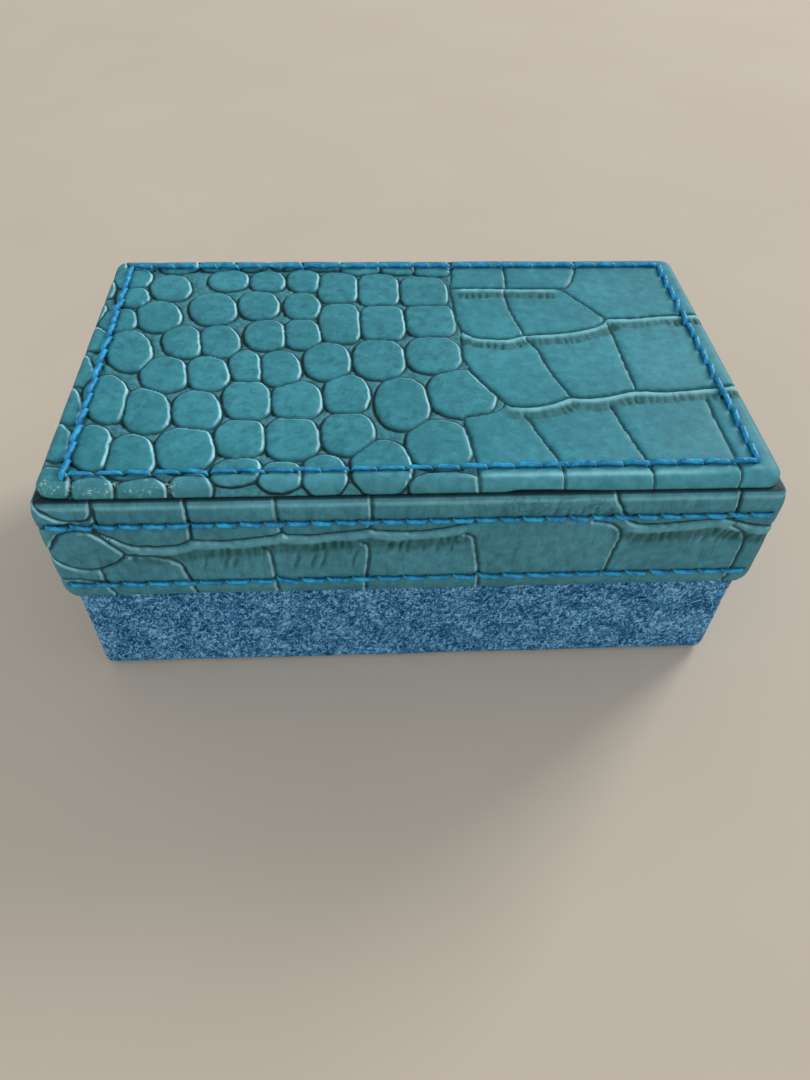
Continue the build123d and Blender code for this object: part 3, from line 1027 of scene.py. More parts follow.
def top_panel():
    """The embossed panel: a sheet bent over its board's edges and turned under."""
    core_x = panel_high.x - panel_corner_radius
    core_y = panel_high.y - panel_corner_radius
    edge = panel_rim + (panel_roll_radius + panel_foot_radius) * pi / 2 + panel_upright
    reach_x = core_x + edge
    reach_y = core_y + edge
    columns = round(2 * reach_x / leather_step) + 1
    rows = round(2 * reach_y / leather_step) + 1
    bm, column, row = flat_grid(columns, rows)
    u = np.linspace(-reach_x, reach_x, columns)[column]
    v = np.linspace(-reach_y, reach_y, rows)[row]
    inside = (column > 0) & (column < columns - 1) & (row > 0) & (row < rows - 1)

    def crease_at(x, y):
        return panel_fields(x, y)[0]

    moved_u, moved_v = settle_on_creases(u, v, crease_at, leather_step)
    u = np.where(inside, moved_u, u)
    v = np.where(inside, moved_v, v)
    crease, height, layers = panel_fields(u, v)
    channel, hole = pull_in(u, v, panel_stitches)

    beyond_u = np.maximum(np.abs(u) - core_x, 0)
    beyond_v = np.maximum(np.abs(v) - core_y, 0)
    beyond = np.maximum(beyond_u, beyond_v)
    size = np.maximum(np.hypot(beyond_u, beyond_v), 1e-9)
    dir_x = np.sign(u) * beyond_u / size
    dir_y = np.sign(v) * beyond_v / size
    t = np.maximum(beyond - panel_rim, 0)
    out, fall, normal_out, normal_up = panel_profile(t)
    out += np.minimum(beyond, panel_rim)
    calm = ease(edge - 0.4, edge - 1.2, beyond)
    side_roll = ease(0.3, 1.8, np.where(-v > core_y, 0, beyond))
    height = height * (1 - 0.8 * side_roll) * (1 - 0.3 * ease(0.3, 1.8, beyond))
    push = height * calm - row_depth * channel - hole_depth * hole
    swell = sheet_swell * ripple(u, v, 14.0, 3) * ease(core_x, core_x - 3, np.abs(u)) * calm
    push += swell - sheet_swell
    push = np.maximum(push, -push_limit)
    x = np.clip(u, -core_x, core_x) + dir_x * (out + normal_out * push)
    y = np.clip(v, -core_y, core_y) + dir_y * (out + normal_out * push)
    z = panel_high.z - fall + normal_up * push
    z += seam_lift(x, y) * ease(panel_roll_radius, edge - 0.6, beyond)
    place_points(bm, np.stack([x, y, z], 1))
    shine = np.exp(-((beyond - shine_place) / shine_half_width) ** 2) * ease(4, 12, u) * ease(46, 36, u)
    layers["edge"] = np.clip(crease, -1.2, 1.5)
    layers["facing"] = facing(crease_at, panel_light_heading, u, v)
    # Painted shade in the needle holes and along the stitch channel, and a painted shadow line under the
    # panel's foot
    layers["hole"] = np.maximum(np.maximum(hole, 0.3 * channel), 0.9 * ease(edge - 0.4, edge - 0.1, beyond))
    # Real wear and painted glints, as pale specks, on the left of the front roll
    left_front = ease(-31, -36, u) * ease(core_y + 0.4, core_y + 1.6, -v)
    layers["wear_and_glints"] = left_front * ease(edge, edge - 2.0, beyond)
    # Painted highlight: the front roll made paler all over, with a painted shine line along it
    layers["painted_shine"] = ease(core_y, core_y + 0.5, -v) * (0.2 + 1.4 * shine)
    note_on_points(bm, **layers)
    keep_home(bm, x, y)

    under = panel_leather_thick + panel_margin_under
    turns = [
        (under, panel_low.z), (under, panel_low.z + thin_leather),
        (panel_leather_thick, panel_low.z + thin_leather),
        (panel_leather_thick, panel_high.z - panel_leather_thick),
    ]
    rim = [item for item in bm.edges if item.is_boundary]
    last = turn_in(bm, rim, panel_high.x, panel_high.y, panel_corner_radius, turns)
    bmesh.ops.holes_fill(bm, edges=last, sides=0)
    bmesh.ops.remove_doubles(bm, verts=bm.verts, dist=1e-7)
    bmesh.ops.recalc_face_normals(bm, faces=bm.faces)
    finish_piece(bm, "top_panel_skin", panel_leather, "lid", ["top_panel_leather"])


# The lid's band

band_outline = Outline(band_high.x, band_high.y, corner_radius)
band_edge_steps = 4


def band_section():
    """The band's outside, drawn in above and below its stitched rows, with rounded edges."""
    low = band_low.z + band_lower_edge_radius
    high = band_high.z - band_upper_edge_radius
    foot_inset = lower_edge_draw + band_lower_edge_radius
    head_inset = upper_edge_draw + band_upper_edge_radius
    foot = quarter(foot_inset, low, band_lower_edge_radius, 270, 180, band_edge_steps)
    head = quarter(head_inset, high, band_upper_edge_radius, 180, 90, band_edge_steps)
    middle = []
    for share in (0.25, 0.5, 0.75, 1.0):
        height = low + (band_low.z + skive_width - low) * share
        middle.append((lower_edge_draw * (1 - share) ** 2, height))
    for share in (1.0, 0.75, 0.5, 0.25):
        height = high + (band_high.z - skive_width - high) * share
        middle.append((upper_edge_draw * (1 - share) ** 2, height))
    return Profile(foot + middle + head)


band_profile = band_section()

# The band's emboss, on the strip's flat coordinates: u along it and z up. On the front u is x.

band_long_creases = [
    [(-46, 34.6), (-43.5, 33), (-42, 31.8), (-40, 31.2), (-36, 31.1), (-34, 31.5), (-32.5, 32.3), (-29, 32),
     (-26, 32.2), (-23, 32.6), (-20.5, 33), (-19.4, 33.6), (-18.6, 33.1), (-15, 32.9), (-12, 33.3),
     (-9, 33.6), (-6.8, 34), (-5.5, 33.6), (-3, 33.4), (0, 33.3), (3, 33.6), (6, 34.3), (8.5, 35)],
    [(30.6, 35.5), (31.2, 34.8), (32, 34.2), (33.5, 33.8), (36, 33.8), (39, 34.1), (42, 34.4), (45, 34.8),
     (46.8, 34.4), (49, 33.6), (51.5, 33.1), (56, 33)],
]
band_deep_creases = [
    [(-45.2, 43), (-45.1, 36), (-46, 34.6)],
    [(-54, 40.3), (-52.5, 39), (-50, 37), (-47, 36.6), (-45.6, 37.5), (-45.2, 39.5)],
    [(-54, 30), (-52.5, 31.8), (-51, 33.8), (-48.5, 34.6), (-46, 34), (-44, 31.5), (-42.7, 29.5),
     (-44.5, 27.6), (-47.5, 26.4), (-50.5, 26.8), (-52.5, 28.4), (-54, 30)],
    [(-54, 35), (-51.5, 35.6), (-48.6, 35.7)],
    [(-42.7, 29.4), (-41, 29), (-39, 28.9), (-37, 28.4), (-35.4, 27.6), (-34.7, 26.8), (-34.4, 25),
     (-34, 23), (-33.6, 17)],
    [(-32.4, 43), (-32.3, 36), (-32.5, 32.6)],
    [(27.4, 43), (28.8, 39), (29.6, 37.5), (30.3, 36), (31.2, 34.8)],
    [(46, 43), (46.6, 39), (46.8, 36), (46.8, 34.5)],
]
band_fine_creases = [
    [(-20, 43), (-19.8, 37), (-19.4, 33.8)],
    [(-6.5, 43), (-6.4, 36), (-6.8, 34.1)],
    [(-22.4, 29.9), (-21.5, 29.5), (-21.2, 26), (-21, 17)],
    [(-7.8, 30.9), (-7, 30.4), (-6.9, 28), (-7.2, 25), (-7.4, 22), (-7.5, 17)],
    [(7.4, 32.4), (8.5, 31.9), (9, 30), (9.5, 27), (10, 23.5), (10.5, 17)],
    [(26, 34.8), (28.5, 34.2), (29.9, 33.2), (30.6, 31.9), (30.6, 30.5), (30.3, 28.5), (30, 26),
     (29.8, 23)],
    [(47, 33.4), (48.5, 32.4), (49.6, 31.2), (50.1, 29.8), (50.1, 26), (49.9, 17)],
    [(-46.8, 26.2), (-46.6, 23.2), (-45.8, 17)],
    [(-54, 24.5), (-50.5, 24.2), (-46.6, 23.2)],
]

# Short single pleats on the front: (u, z, half length)
band_pleats = [
    (-31, 27.8, 1.3), (-28, 27.8, 1.3), (-26.7, 27.6, 1.1), (-17.5, 28, 2), (-15, 28, 1.9),
    (-13.5, 28, 1.9), (-9, 28, 1.9), (-4, 30, 1), (-2.2, 30, 1), (-1, 30, 1), (1.3, 30, 1), (3.5, 30, 1),
    (5.5, 30, 1), (20, 37, 0.6), (22, 37, 0.6), (24, 37, 0.6), (26, 37, 0.6), (28, 37, 0.6), (33, 31, 1),
    (36, 31, 1), (38.5, 31, 1), (40, 31, 1), (42, 31, 1), (43.6, 31, 1), (45.5, 31, 1),
]
single_pleat_lean = 0.22
single_pleat_half_width = 0.26
single_pleat_depth = 0.24
single_ridge_place = 0.55
single_ridge_half_width = 0.28

# The rough patch under the seam, and a small one by the left corner: (u, z, radius)
band_rough_places = [
    (14, 38, 2.6), (17.5, 38.2, 2.8), (21.5, 38.4, 2.6), (25.5, 38, 2.4), (28, 36.6, 1.6),
    (-45.5, 35.3, 1.2),
]

# The scale at the front's left end has no fold: where it starts and stops being plain, from each end
plain_scale_left = (-54.5, -53.5)
plain_scale_right = (-40.8, -42.6)

# A painted shine line runs along the band near its head
band_shine_height = 39.1
band_shine_half_width = 0.3

# Past the front, uprights run from below the band to above it, and a long crease wanders at this height
below_band = 17
above_band = 43
side_crease_height = 33


def side_long_crease(start, end, seed):
    """A wandering long crease, and the uprights above and below it, along a stretch of the strip."""
    rng = np.random.default_rng(seed)
    count = round((end - start) / 3)
    along = np.linspace(start, end, count)
    heights = side_crease_height + 0.7 * np.sin(along * 0.21) + 0.3 * rng.standard_normal(count)
    uprights = []
    for low, high in ((side_crease_height + 0.2, above_band), (below_band, side_crease_height - 2)):
        u = start + rng.uniform(3, 9)
        while u < end - 3:
            tilt = rng.uniform(-0.8, 0.8)
            uprights.append([(u, high), (u + tilt, (low + high) / 2), (u + 1.3 * tilt, low)])
            u += rng.uniform(10.5, 14.5)
    return list(zip(along, heights)), uprights


def side_scales(start, end, seed):
    """Wandering upright creases along a stretch of the strip, and finer ones across between them."""
    rng = np.random.default_rng(seed)
    heights = (below_band, 20.5, 24, 28, 32, 36, above_band)
    columns = []
    crosses = []
    u = start + 2.0
    number = 0
    while u < end:
        bulge = rng.uniform(0.5, 1.1)
        columns.append([(u + bulge * sin(z * 0.8 + 2.1 * number), z) for z in heights])
        width = rng.uniform(5.6, 7.4)
        for z in (22, 29, 36.5):
            tilt = rng.uniform(-0.8, 0.8)
            lift = z + (3.2 if number % 2 else 0) + rng.uniform(-0.6, 0.6)
            crosses.append([(u, lift), (u + width / 2, lift + 0.6 + tilt / 2), (u + width, lift + tilt)])
        u += width
        number += 1
    return columns, crosses


strip_end = float(band_outline.knots[-1])
left_end = float(band_outline.knots[1])
front_end = 54.5
for side_start, side_end, side_seed in ((front_end, strip_end + 2, 11), (-strip_end - 2, left_end, 12)):
    side_crease, side_uprights = side_long_crease(side_start, side_end, side_seed)
    band_long_creases.append(side_crease)
    band_fine_creases += side_uprights
left_columns, left_crosses = side_scales(left_end, -front_end, 13)
band_deep_creases += left_columns
band_fine_creases += left_crosses


def band_fields(u, z):
    """The band's emboss at flat points: its edge field, its height and the layers its finish reads."""
    plain = ease(*plain_scale_left, u) * ease(*plain_scale_right, u)
    fold, ridge, pleat, pucker = [field * (1 - plain) for field in folds(band_long_creases, 0.8, 60, u, z)]
    for pleat_u, pleat_z, half in band_pleats:
        across = u - pleat_u - single_pleat_lean * (z - pleat_z) - 0.12 * ripple(z, u, 2.5, 66)
        upright = ease(half + 0.5, half - 0.6, np.abs(z - pleat_z))
        trough = np.exp(-(across / single_pleat_half_width) ** 2) * upright
        crest = np.exp(-((across + single_ridge_place) / single_ridge_half_width) ** 2) * upright
        fold = fold - single_pleat_depth * trough
        pleat = np.maximum(pleat, 0.7 * trough)
        ridge = np.maximum(ridge, 0.6 * crest)
    rough = spots(band_rough_places, u, z)
    warp_u, warp_z = wavering(u, z, 83)
    deep = crease_distance(band_deep_creases + band_long_creases, warp_u, warp_z)
    fine = crease_distance(band_fine_creases, warp_u, warp_z)
    edge = np.maximum(soft_least(deep, fine, 0.15) - 0.08, 0)
    strength = np.where(deep < fine, band_share, cross_share)
    return edge, relief(edge, strength, fold) - 0.12 * rough, {
        "strength": strength,
        "pucker": np.maximum(0.35 * pucker, 0.6 * rough),
        "ridge": 0.35 * ridge,
        "pleat": pleat,
        "grained": np.full(np.shape(u), 0.85),
        # A painted shine line along the band near its head
        "painted_shine": 0.9 * np.exp(-((z - band_shine_height) / band_shine_half_width) ** 2),
    }


def wrap_round(u):
    """A place past the strip's end, brought back to its start on the other side of the butt joint."""
    return u - 2 * strip_end - butt_gap if u > strip_end + butt_gap / 2 else u


def band_stitches(height, pitch):
    """Ends of the stitches right round the band at this height: left, front, right and back."""
    knots = band_outline.knots
    sides = [(knots[n], knots[n + 1] - knots[n]) for n in (2, 4, 6)] + [(knots[8], 2 * band_outline.side_x)]
    stitches = []
    for start, length in sides:
        for first, second in stitch_ends((start, height), (start + length, height), pitch):
            middle = (first[0] + second[0]) / 2
            shift = [wrap_round(middle) - middle, 0]
            stitches.append((first + shift, second + shift))
    return stitches


upper_stitches = band_stitches(upper_row, upper_pitch)
lower_stitches = band_stitches(lower_row, lower_pitch)


def band_surface(u, t):
    """Where the band's points settle, how far each stands out, and what its finish needs to know."""
    foot_end = band_profile.length[band_edge_steps]
    head_start = band_profile.length[-1 - band_edge_steps]
    ends = (t < foot_end) | (t > head_start) | (np.abs(u) > strip_end - 0.5)
    z = band_profile.place(t)[1]

    def crease_at(a, b):
        return band_fields(a, b)[0]

    moved_u, moved_z = settle_on_creases(u, z, crease_at, leather_step)
    t = np.where(ends, t, t + moved_z - z)
    u = np.where(ends, u, moved_u)
    z = band_profile.place(t)[1]
    crease, height, layers = band_fields(u, z)
    channel, hole = pull_in(u, z, upper_stitches + lower_stitches)
    calm = ease(0.1, 0.9, t) * ease(band_profile.length[-1] - 0.1, band_profile.length[-1] - 0.9, t)
    swell = sheet_swell * ripple(u, z, 13.0, 5)
    height *= 1 - 0.5 * ease(2.5, 0.5, band_outline.from_corner(u))
    push = (height - row_depth * channel - hole_depth * hole + np.minimum(swell, 0)) * calm
    # A painted shadow line along the band's top edge, under the panel
    seam_shadow = ease(band_high.z - 0.18, band_high.z - 0.02, z)
    layers["edge"] = np.minimum(crease, 1.5)
    # Painted shade in the needle holes and along the stitch channel, and the seam's painted shadow line
    layers["hole"] = np.maximum(np.maximum(hole, 0.4 * channel), 0.9 * seam_shadow)
    layers["facing"] = facing(crease_at, band_light_heading, u, z)
    return u, t, push, layers


def lid_band():
    """The embossed strip round the lid, turned over the tray and up inside the walls."""
    columns = band_outline.columns(leather_step * 0.9, leather_step * 1.35)
    foot = band_profile.length[:1 + band_edge_steps]
    head = band_profile.length[-1 - band_edge_steps:]
    rows = np.concatenate([foot, np.linspace(foot[-1], head[0], 70)[1:-1], head])
    over = band_margin_over + band_leather_thick
    wall_in = band_leather_thick + wall_thick
    turns = [
        (over, band_high.z), (over, tray_high.z), (band_leather_thick, tray_high.z),
        (band_leather_thick, wall_low.z), (wall_in, wall_low.z), (wall_in, wall_low.z + band_margin_inside),
        (wall_in + thin_leather, wall_low.z + band_margin_inside), (wall_in + thin_leather, band_low.z),
    ]
    bm = wrapped_strip(band_outline, band_profile, columns, rows, band_surface, turns)
    finish_piece(bm, "band_skin", band_leather, "lid", ["lid_band_leather"])


# Threads

thread_radius = 0.42
stitch_rings = 15
stitch_sides = 10
stitch_rise = 0.34
stitch_dive = 0.70
stitch_turns = 0.6

# How far a stitch's middle line sits in the leather, how its thickness varies, and how far it slants
thread_sink = 0.05
panel_thread_thick = 1.08
left_thread_thick = 1.15
left_thread_extra = 0.3
front_thread_thin = 0.72
front_thread_thick = 1.0
band_thread_thick = 0.9
thread_slant = radians(-5)
thread_slant_spread = radians(3.5)


def one_stitch(length):
    """A stitch along X: one flattened strand, twisted along its length and arched over the leather, whose
    ends dive into the holes.
    """
    bm = bmesh.new()
    bmesh.ops.create_circle(bm, cap_ends=False, radius=1.0, segments=stitch_sides)
    bmesh.ops.rotate(bm, verts=bm.verts, cent=(0, 0, 0), matrix=Matrix.Rotation(pi / 2, 3, "Y"))
    edges = list(bm.edges)
    rings = [list(bm.verts)]
    for _ in range(stitch_rings - 1):
        made = bmesh.ops.extrude_edge_only(bm, edges=edges)["geom"]
        edges = [item for item in made if isinstance(item, bmesh.types.BMEdge)]
        rings.append([item for item in made if isinstance(item, bmesh.types.BMVert)])
    for number, ring in enumerate(rings):
        share = 2 * number / (stitch_rings - 1) - 1
        taper = 1 - 0.4 * abs(share) ** 6
        rise = stitch_rise - stitch_dive * abs(share) ** 11
        twist = share * stitch_turns * tau
        for vert in ring:
            angle = np.arctan2(vert.co.z, vert.co.y)
            radius = thread_radius * taper * (0.78 + 0.22 * abs(cos(angle)) ** 0.7)
            vert.co = Vector((
                share * length / 2,
                radius * cos(angle + twist),
                radius * sin(angle + twist) + rise,
            )) * MM
    bmesh.ops.holes_fill(bm, edges=[edge for edge in bm.edges if edge.is_boundary], sides=0)
    bmesh.ops.recalc_face_normals(bm, faces=bm.faces)
    mesh = bpy.data.meshes.new("one_stitch")
    bm.to_mesh(mesh)
    bm.free()
    return mesh


def sew(name, places, node, seed):
    """A row of stitches as one piece. A place is (middle, way along, way out, length, thickness)."""
    rng = np.random.default_rng(seed)
    bm = bmesh.new()
    lengths = sorted({round(place[3], 2) for place in places})
    stitches = {length: one_stitch(length) for length in lengths}
    for middle, way, out, length, thickness in places:
        done = len(bm.verts)
        bm.from_mesh(stitches[round(length, 2)])
        verts = bm.verts[done:] if done else list(bm.verts)
        side = out.cross(way)
        frame_turn = Matrix((way, side, out)).transposed()
        slant = Matrix.Rotation(thread_slant + thread_slant_spread * rng.standard_normal(), 3, "Z")
        rng.uniform()  # a spare draw, which keeps the later ones as they were
        size = thickness * rng.uniform(0.94, 1.06)
        turn = (frame_turn @ slant).to_4x4()
        shape = Matrix.Diagonal((1.0, size, size, 1.0))
        bmesh.ops.transform(bm, matrix=Matrix.Translation(middle * MM) @ turn @ shape, verts=verts)
    finish_piece(bm, name, thread, "lid", [node])
    for mesh in stitches.values():
        bpy.data.meshes.remove(mesh)


def panel_threads():
    """The panel's stitches: longer and thicker on the left, and finer on the left of the front."""
    places = []
    for start, end in panel_stitches:
        middle = Vector((*(start + end) / 2, panel_high.z - thread_sink))
        way = Vector((*(end - start), 0))
        length = way.length
        thickness = panel_thread_thick
        if abs(way.x) < abs(way.y) and middle.x < 0:
            thickness = left_thread_thick
            length += left_thread_extra
        elif middle.y < 0 and abs(way.x) > abs(way.y):
            gain = front_thread_thick - front_thread_thin
            thickness = front_thread_thin + gain * float(ease(-5, 20, middle.x))
        places.append((middle, way.normalized(), Vector((0, 0, 1)), length, thickness))
    sew("top_panel_thread", places, "top_panel_stitching", 21)


def band_threads(name, stitches, node, seed):
    """One of the band's two rows of stitches."""
    places = []
    for start, end in stitches:
        x, y, out_x, out_y = band_outline.place((start[0] + end[0]) / 2, 0)
        out = Vector((out_x, out_y, 0))
        middle = Vector((x, y, start[1])) - thread_sink * out
        length = float(end[0] - start[0])
        places.append((middle, Vector((-out_y, out_x, 0)), out, length, band_thread_thick))
    sew(name, places, node, seed)


# Suede base

suede_outline = Outline(suede_high.x, suede_high.y, corner_radius)
suede_edge_steps = 5
ledge_steps = 5


def base_suede():
    """The suede wrap: foot and rim rounded over the boards, margins turned under and down inside."""
    low, high = suede_low.z, suede_high.z
    foot_centre = low + suede_foot_radius
    head_centre = high - suede_rim_radius
    foot = quarter(suede_foot_radius, foot_centre, suede_foot_radius, 270, 180, suede_edge_steps)
    head = quarter(suede_rim_radius, head_centre, suede_rim_radius, 180, 90, suede_edge_steps)
    ledge = neck_from_suede - suede_rim_radius
    ledge_points = [(suede_rim_radius + ledge * n / ledge_steps, high) for n in range(1, ledge_steps + 1)]
    profile = Profile(foot + head + ledge_points)
    foot_rows = profile.length[:1 + suede_edge_steps]
    head_rows = profile.length[1 + suede_edge_steps:]
    rows = np.concatenate([foot_rows, np.linspace(foot_rows[-1], head_rows[0], 44)[1:-1], head_rows])
    columns = suede_outline.columns(0.4, 0.55)
    rng = np.random.default_rng(31)

    def nap(u, t):
        calm = ease(0.0, 0.5, t) * ease(profile.length[-1], profile.length[-1] - 0.5, t)
        rough = 0.028 * rng.standard_normal(np.shape(u)) + 0.03 * ripple(u, t, 2.2, 32)
        swell = 0.05 * ripple(u, t, 17.0, 33)
        return u, t, (np.clip(rough + swell, -0.2, 0.12) - 0.06) * calm, {}

    inside = base_wall_edge + board_thick
    under = base_wall_edge + base_margin_under
    turns = [
        (neck_from_suede, base_margin_low), (inside, base_margin_low), (inside, base_wall_high.z),
        (base_wall_edge, base_wall_high.z), (base_wall_edge, base_floor_low.z), (under, base_floor_low.z),
        (under, low),
    ]
    bm = wrapped_strip(suede_outline, profile, columns, rows, nap, turns)
    finish_piece(bm, "base_suede_skin", suede, "base", ["base_suede_cover"])


# Lining of the neck

neck_corner_radius = 0.5
neck_rim_radius = 0.6


def neck_strip():
    """The lining folded over the neck: down its outside to the rim and down its inside to the floor."""
    outline = Outline(neck_high.x, neck_high.y, neck_corner_radius)
    thick = neck_high.x - neck_board_high.x
    top = neck_high.z
    centre = top - neck_rim_radius
    outer = quarter(neck_rim_radius, centre, neck_rim_radius, 180, 90, 5)
    inner = quarter(neck_inside - neck_rim_radius, centre, neck_rim_radius, 90, 0, 5)
    profile = Profile([(0, suede_high.z)] + outer + inner + [(neck_inside, base_floor_high.z)])
    rim = profile.length[1:-1]
    rows = np.concatenate([
        np.linspace(0, rim[0], 24)[:-1], rim, np.linspace(rim[-1], profile.length[-1], 40)[1:],
    ])

    def cloth(u, t):
        swell = 0.035 * ripple(u, t, 9.0, 35) + 0.012 * ripple(u, t, 2.5, 36)
        calm = ease(0, 0.6, t) * ease(2.8, 4.8, outline.from_corner(u))
        return u, t, np.minimum(swell, 0.02) * calm, {}

    inner_side = neck_inside - thick
    turns = [
        (inner_side, base_floor_high.z), (inner_side, top - thick), (thick, top - thick),
        (thick, suede_high.z),
    ]
    bm = wrapped_strip(outline, profile, outline.columns(0.8, 0.8), rows, cloth, turns)
    finish_piece(bm, "neck_cloth", lining_cloth, "base", ["neck_lining"])


# Dividers

divider_top_radius = 0.7
divider_step = 1.5


def folded_cover(name, node, board_node, along_y):
    """The lining folded over a divider's board, with a soft top edge, open at its foot."""
    low, high = node_box(node)
    size = high - low
    length, width = (size.y, size.x) if along_y else (size.x, size.y)
    thick = high.z - node_box(board_node)[1].z
    radius = divider_top_radius
    half = width / 2
    bend = np.linspace(0, pi / 2, 6)
    section = [(-half, 0.0)]
    section += [(-half + radius - radius * cos(a), size.z - radius + radius * sin(a)) for a in bend]
    section += [(half - radius + radius * sin(a), size.z - radius + radius * cos(a)) for a in bend]
    section += [(half, 0.0)]
    bm = bmesh.new()
    verts = [bm.verts.new((-length / 2 * MM, y * MM, z * MM)) for y, z in section]
    edges = [bm.edges.new(pair) for pair in zip(verts, verts[1:])]
    steps = round(length / divider_step)
    for _ in range(steps):
        made = bmesh.ops.extrude_edge_only(bm, edges=edges)["geom"]
        moved = [item for item in made if isinstance(item, bmesh.types.BMVert)]
        bmesh.ops.translate(bm, verts=moved, vec=(length / steps * MM, 0, 0))
        edges = [item for item in made if isinstance(item, bmesh.types.BMEdge)
                 and all(vert in moved for vert in item.verts)]
    tall = [edge for edge in bm.edges if edge.calc_length() > 3 * MM]
    bmesh.ops.subdivide_edges(bm, edges=tall, cuts=9, use_grid_fill=True)
    for vert in bm.verts:
        soft = 0.05 * ripple(vert.co.x / MM, vert.co.z / MM, 8.0, 37)
        vert.co.y -= np.sign(vert.co.y) * abs(float(soft)) * MM
    bmesh.ops.recalc_face_normals(bm, faces=bm.faces)
    side = bm.faces[0]
    if side.normal.y * side.calc_center_median().y < 0:
        bmesh.ops.reverse_faces(bm, faces=bm.faces)
    bmesh.ops.solidify(bm, geom=bm.faces, thickness=thick * MM)
    centre = (low + high) / 2
    turn = Matrix.Rotation(pi / 2, 4, "Z") if along_y else Matrix.Identity(4)
    place = Matrix.Translation(Vector((centre.x, centre.y, low.z)) * MM) @ turn
    bmesh.ops.transform(bm, matrix=place, verts=bm.verts)
    finish_piece(bm, name, lining_cloth, "base", [node])


# Ring rolls and the panel's pad

# The simulation runs on a form this many times as large, so that the solver is steady
sim_size = 25.0
sim_frames = 20
sim_pressure = 4.0
cloth_grain = 1.1
cloth_limit = 0.9

# How much smaller than the roll its form is before it is blown up, and how round its edges are
form_allowance = (1.6, 2.0, 1.8)
form_edge = 2.6

# A seam lies near each end, and the foot is set flat over its lowest stretch
seam_from_end = 2.2
seam_half_width = 0.5
seam_depth = 0.32
flat_foot = 0.9
foot_share = 0.25

even_bevel = {"profile": 0.5, "affect": "EDGES", "material": -1}


def padded_shape(bm, name):
    """Blows a closed cloth form up with a cloth simulation, and gives it back at its own size."""
    mesh = bpy.data.meshes.new(name)
    bmesh.ops.scale(bm, verts=bm.verts, vec=(sim_size,) * 3)
    bm.to_mesh(mesh)
    bm.free()
    work = bpy.data.objects.new(name, mesh)
    bpy.context.scene.collection.objects.link(work)
    bpy.context.view_layer.objects.active = work
    voxels = work.modifiers.new("voxels", "REMESH")
    voxels.mode = "VOXEL"
    voxels.voxel_size = cloth_grain * MM * sim_size
    bpy.context.view_layer.update()
    evaluated = work.evaluated_get(bpy.context.evaluated_depsgraph_get())
    even = bpy.data.meshes.new_from_object(evaluated)
    work.modifiers.clear()
    work.data = even
    start = np.array([vert.co for vert in even.vertices])
    cloth = work.modifiers.new("cloth", "CLOTH")
    cloth.settings.quality = 5
    cloth.settings.mass = 0.3
    cloth.settings.tension_stiffness = 15
    cloth.settings.compression_stiffness = 15
    cloth.settings.use_pressure = True
    cloth.settings.uniform_pressure_force = sim_pressure
    cloth.settings.effector_weights.gravity = 0
    for number in range(1, sim_frames + 1):
        bpy.context.scene.frame_set(number)
    evaluated = work.evaluated_get(bpy.context.evaluated_depsgraph_get())
    blown = bpy.data.meshes.new_from_object(evaluated)
    work.modifiers.clear()
    moved = np.array([vert.co for vert in blown.vertices])
    way = moved - start
    far = np.maximum(np.linalg.norm(way, axis=1), 1e-9)
    limit = cloth_limit * MM * sim_size
    moved = start + way * np.minimum(1, limit / far)[:, None]
    for vert, point in zip(blown.vertices, moved):
        vert.co = Vector(point)
    work.data = blown
    bpy.context.scene.frame_set(1)
    made = bmesh.new()
    made.from_mesh(work.data)
    bmesh.ops.scale(made, verts=made.verts, vec=(1 / sim_size,) * 3)
    bpy.data.objects.remove(work)
    return made


def ring_roll(number):
    """A padded roll for rings: a form blown up, set flat on the floor, with a seam near each end."""
    node = f"ring_roll_cover_{number}"
    low, high = node_box(node)
    size = high - low
    bm = bmesh.new()
    bmesh.ops.create_cube(bm, size=1)
    form = [side - less for side, less in zip(size, form_allowance)]
    bmesh.ops.scale(bm, verts=bm.verts, vec=form)
    bmesh.ops.bevel(bm, geom=bm.edges, offset=form_edge, segments=5, **even_bevel)
    bmesh.ops.scale(bm, verts=bm.verts, vec=(MM,) * 3)
    made = padded_shape(bm, f"roll_form_{number}")
    reach = [max(abs(vert.co[axis]) for vert in made.verts) for axis in range(3)]
    fit = [size[axis] / 2 * MM / reach[axis] * 0.995 for axis in range(3)]
    bmesh.ops.scale(made, verts=made.verts, vec=fit)
    seam_place = size.x / 2 - seam_from_end
    lowest = -size.z / 2
    for vert in made.verts:
        x = vert.co.x / MM
        y = vert.co.y / MM
        z = vert.co.z / MM
        groove = seam_depth * np.exp(-((abs(x) - seam_place) / seam_half_width) ** 2)
        puff = 0.10 * float(ripple(x, y + 3 * number, 6.0, 70 + number))
        inward = Vector((0, y, z)).normalized() * (groove - min(puff, 0.05))
        vert.co -= inward * MM
        if z < lowest + flat_foot:
            vert.co.z = (lowest + foot_share * max(0.0, z - lowest)) * MM
    bmesh.ops.translate(made, verts=made.verts, vec=(low + high) / 2 * MM)
    bmesh.ops.recalc_face_normals(made, faces=made.faces)
    replaced = [node, f"ring_roll_foam_{number}"]
    roll = finish_piece(made, f"ring_roll_{number}", roll_cloth, "base", replaced)
    smooth = roll.modifiers.new("even", "SUBSURF")
    smooth.levels = 1
    smooth.render_levels = 1


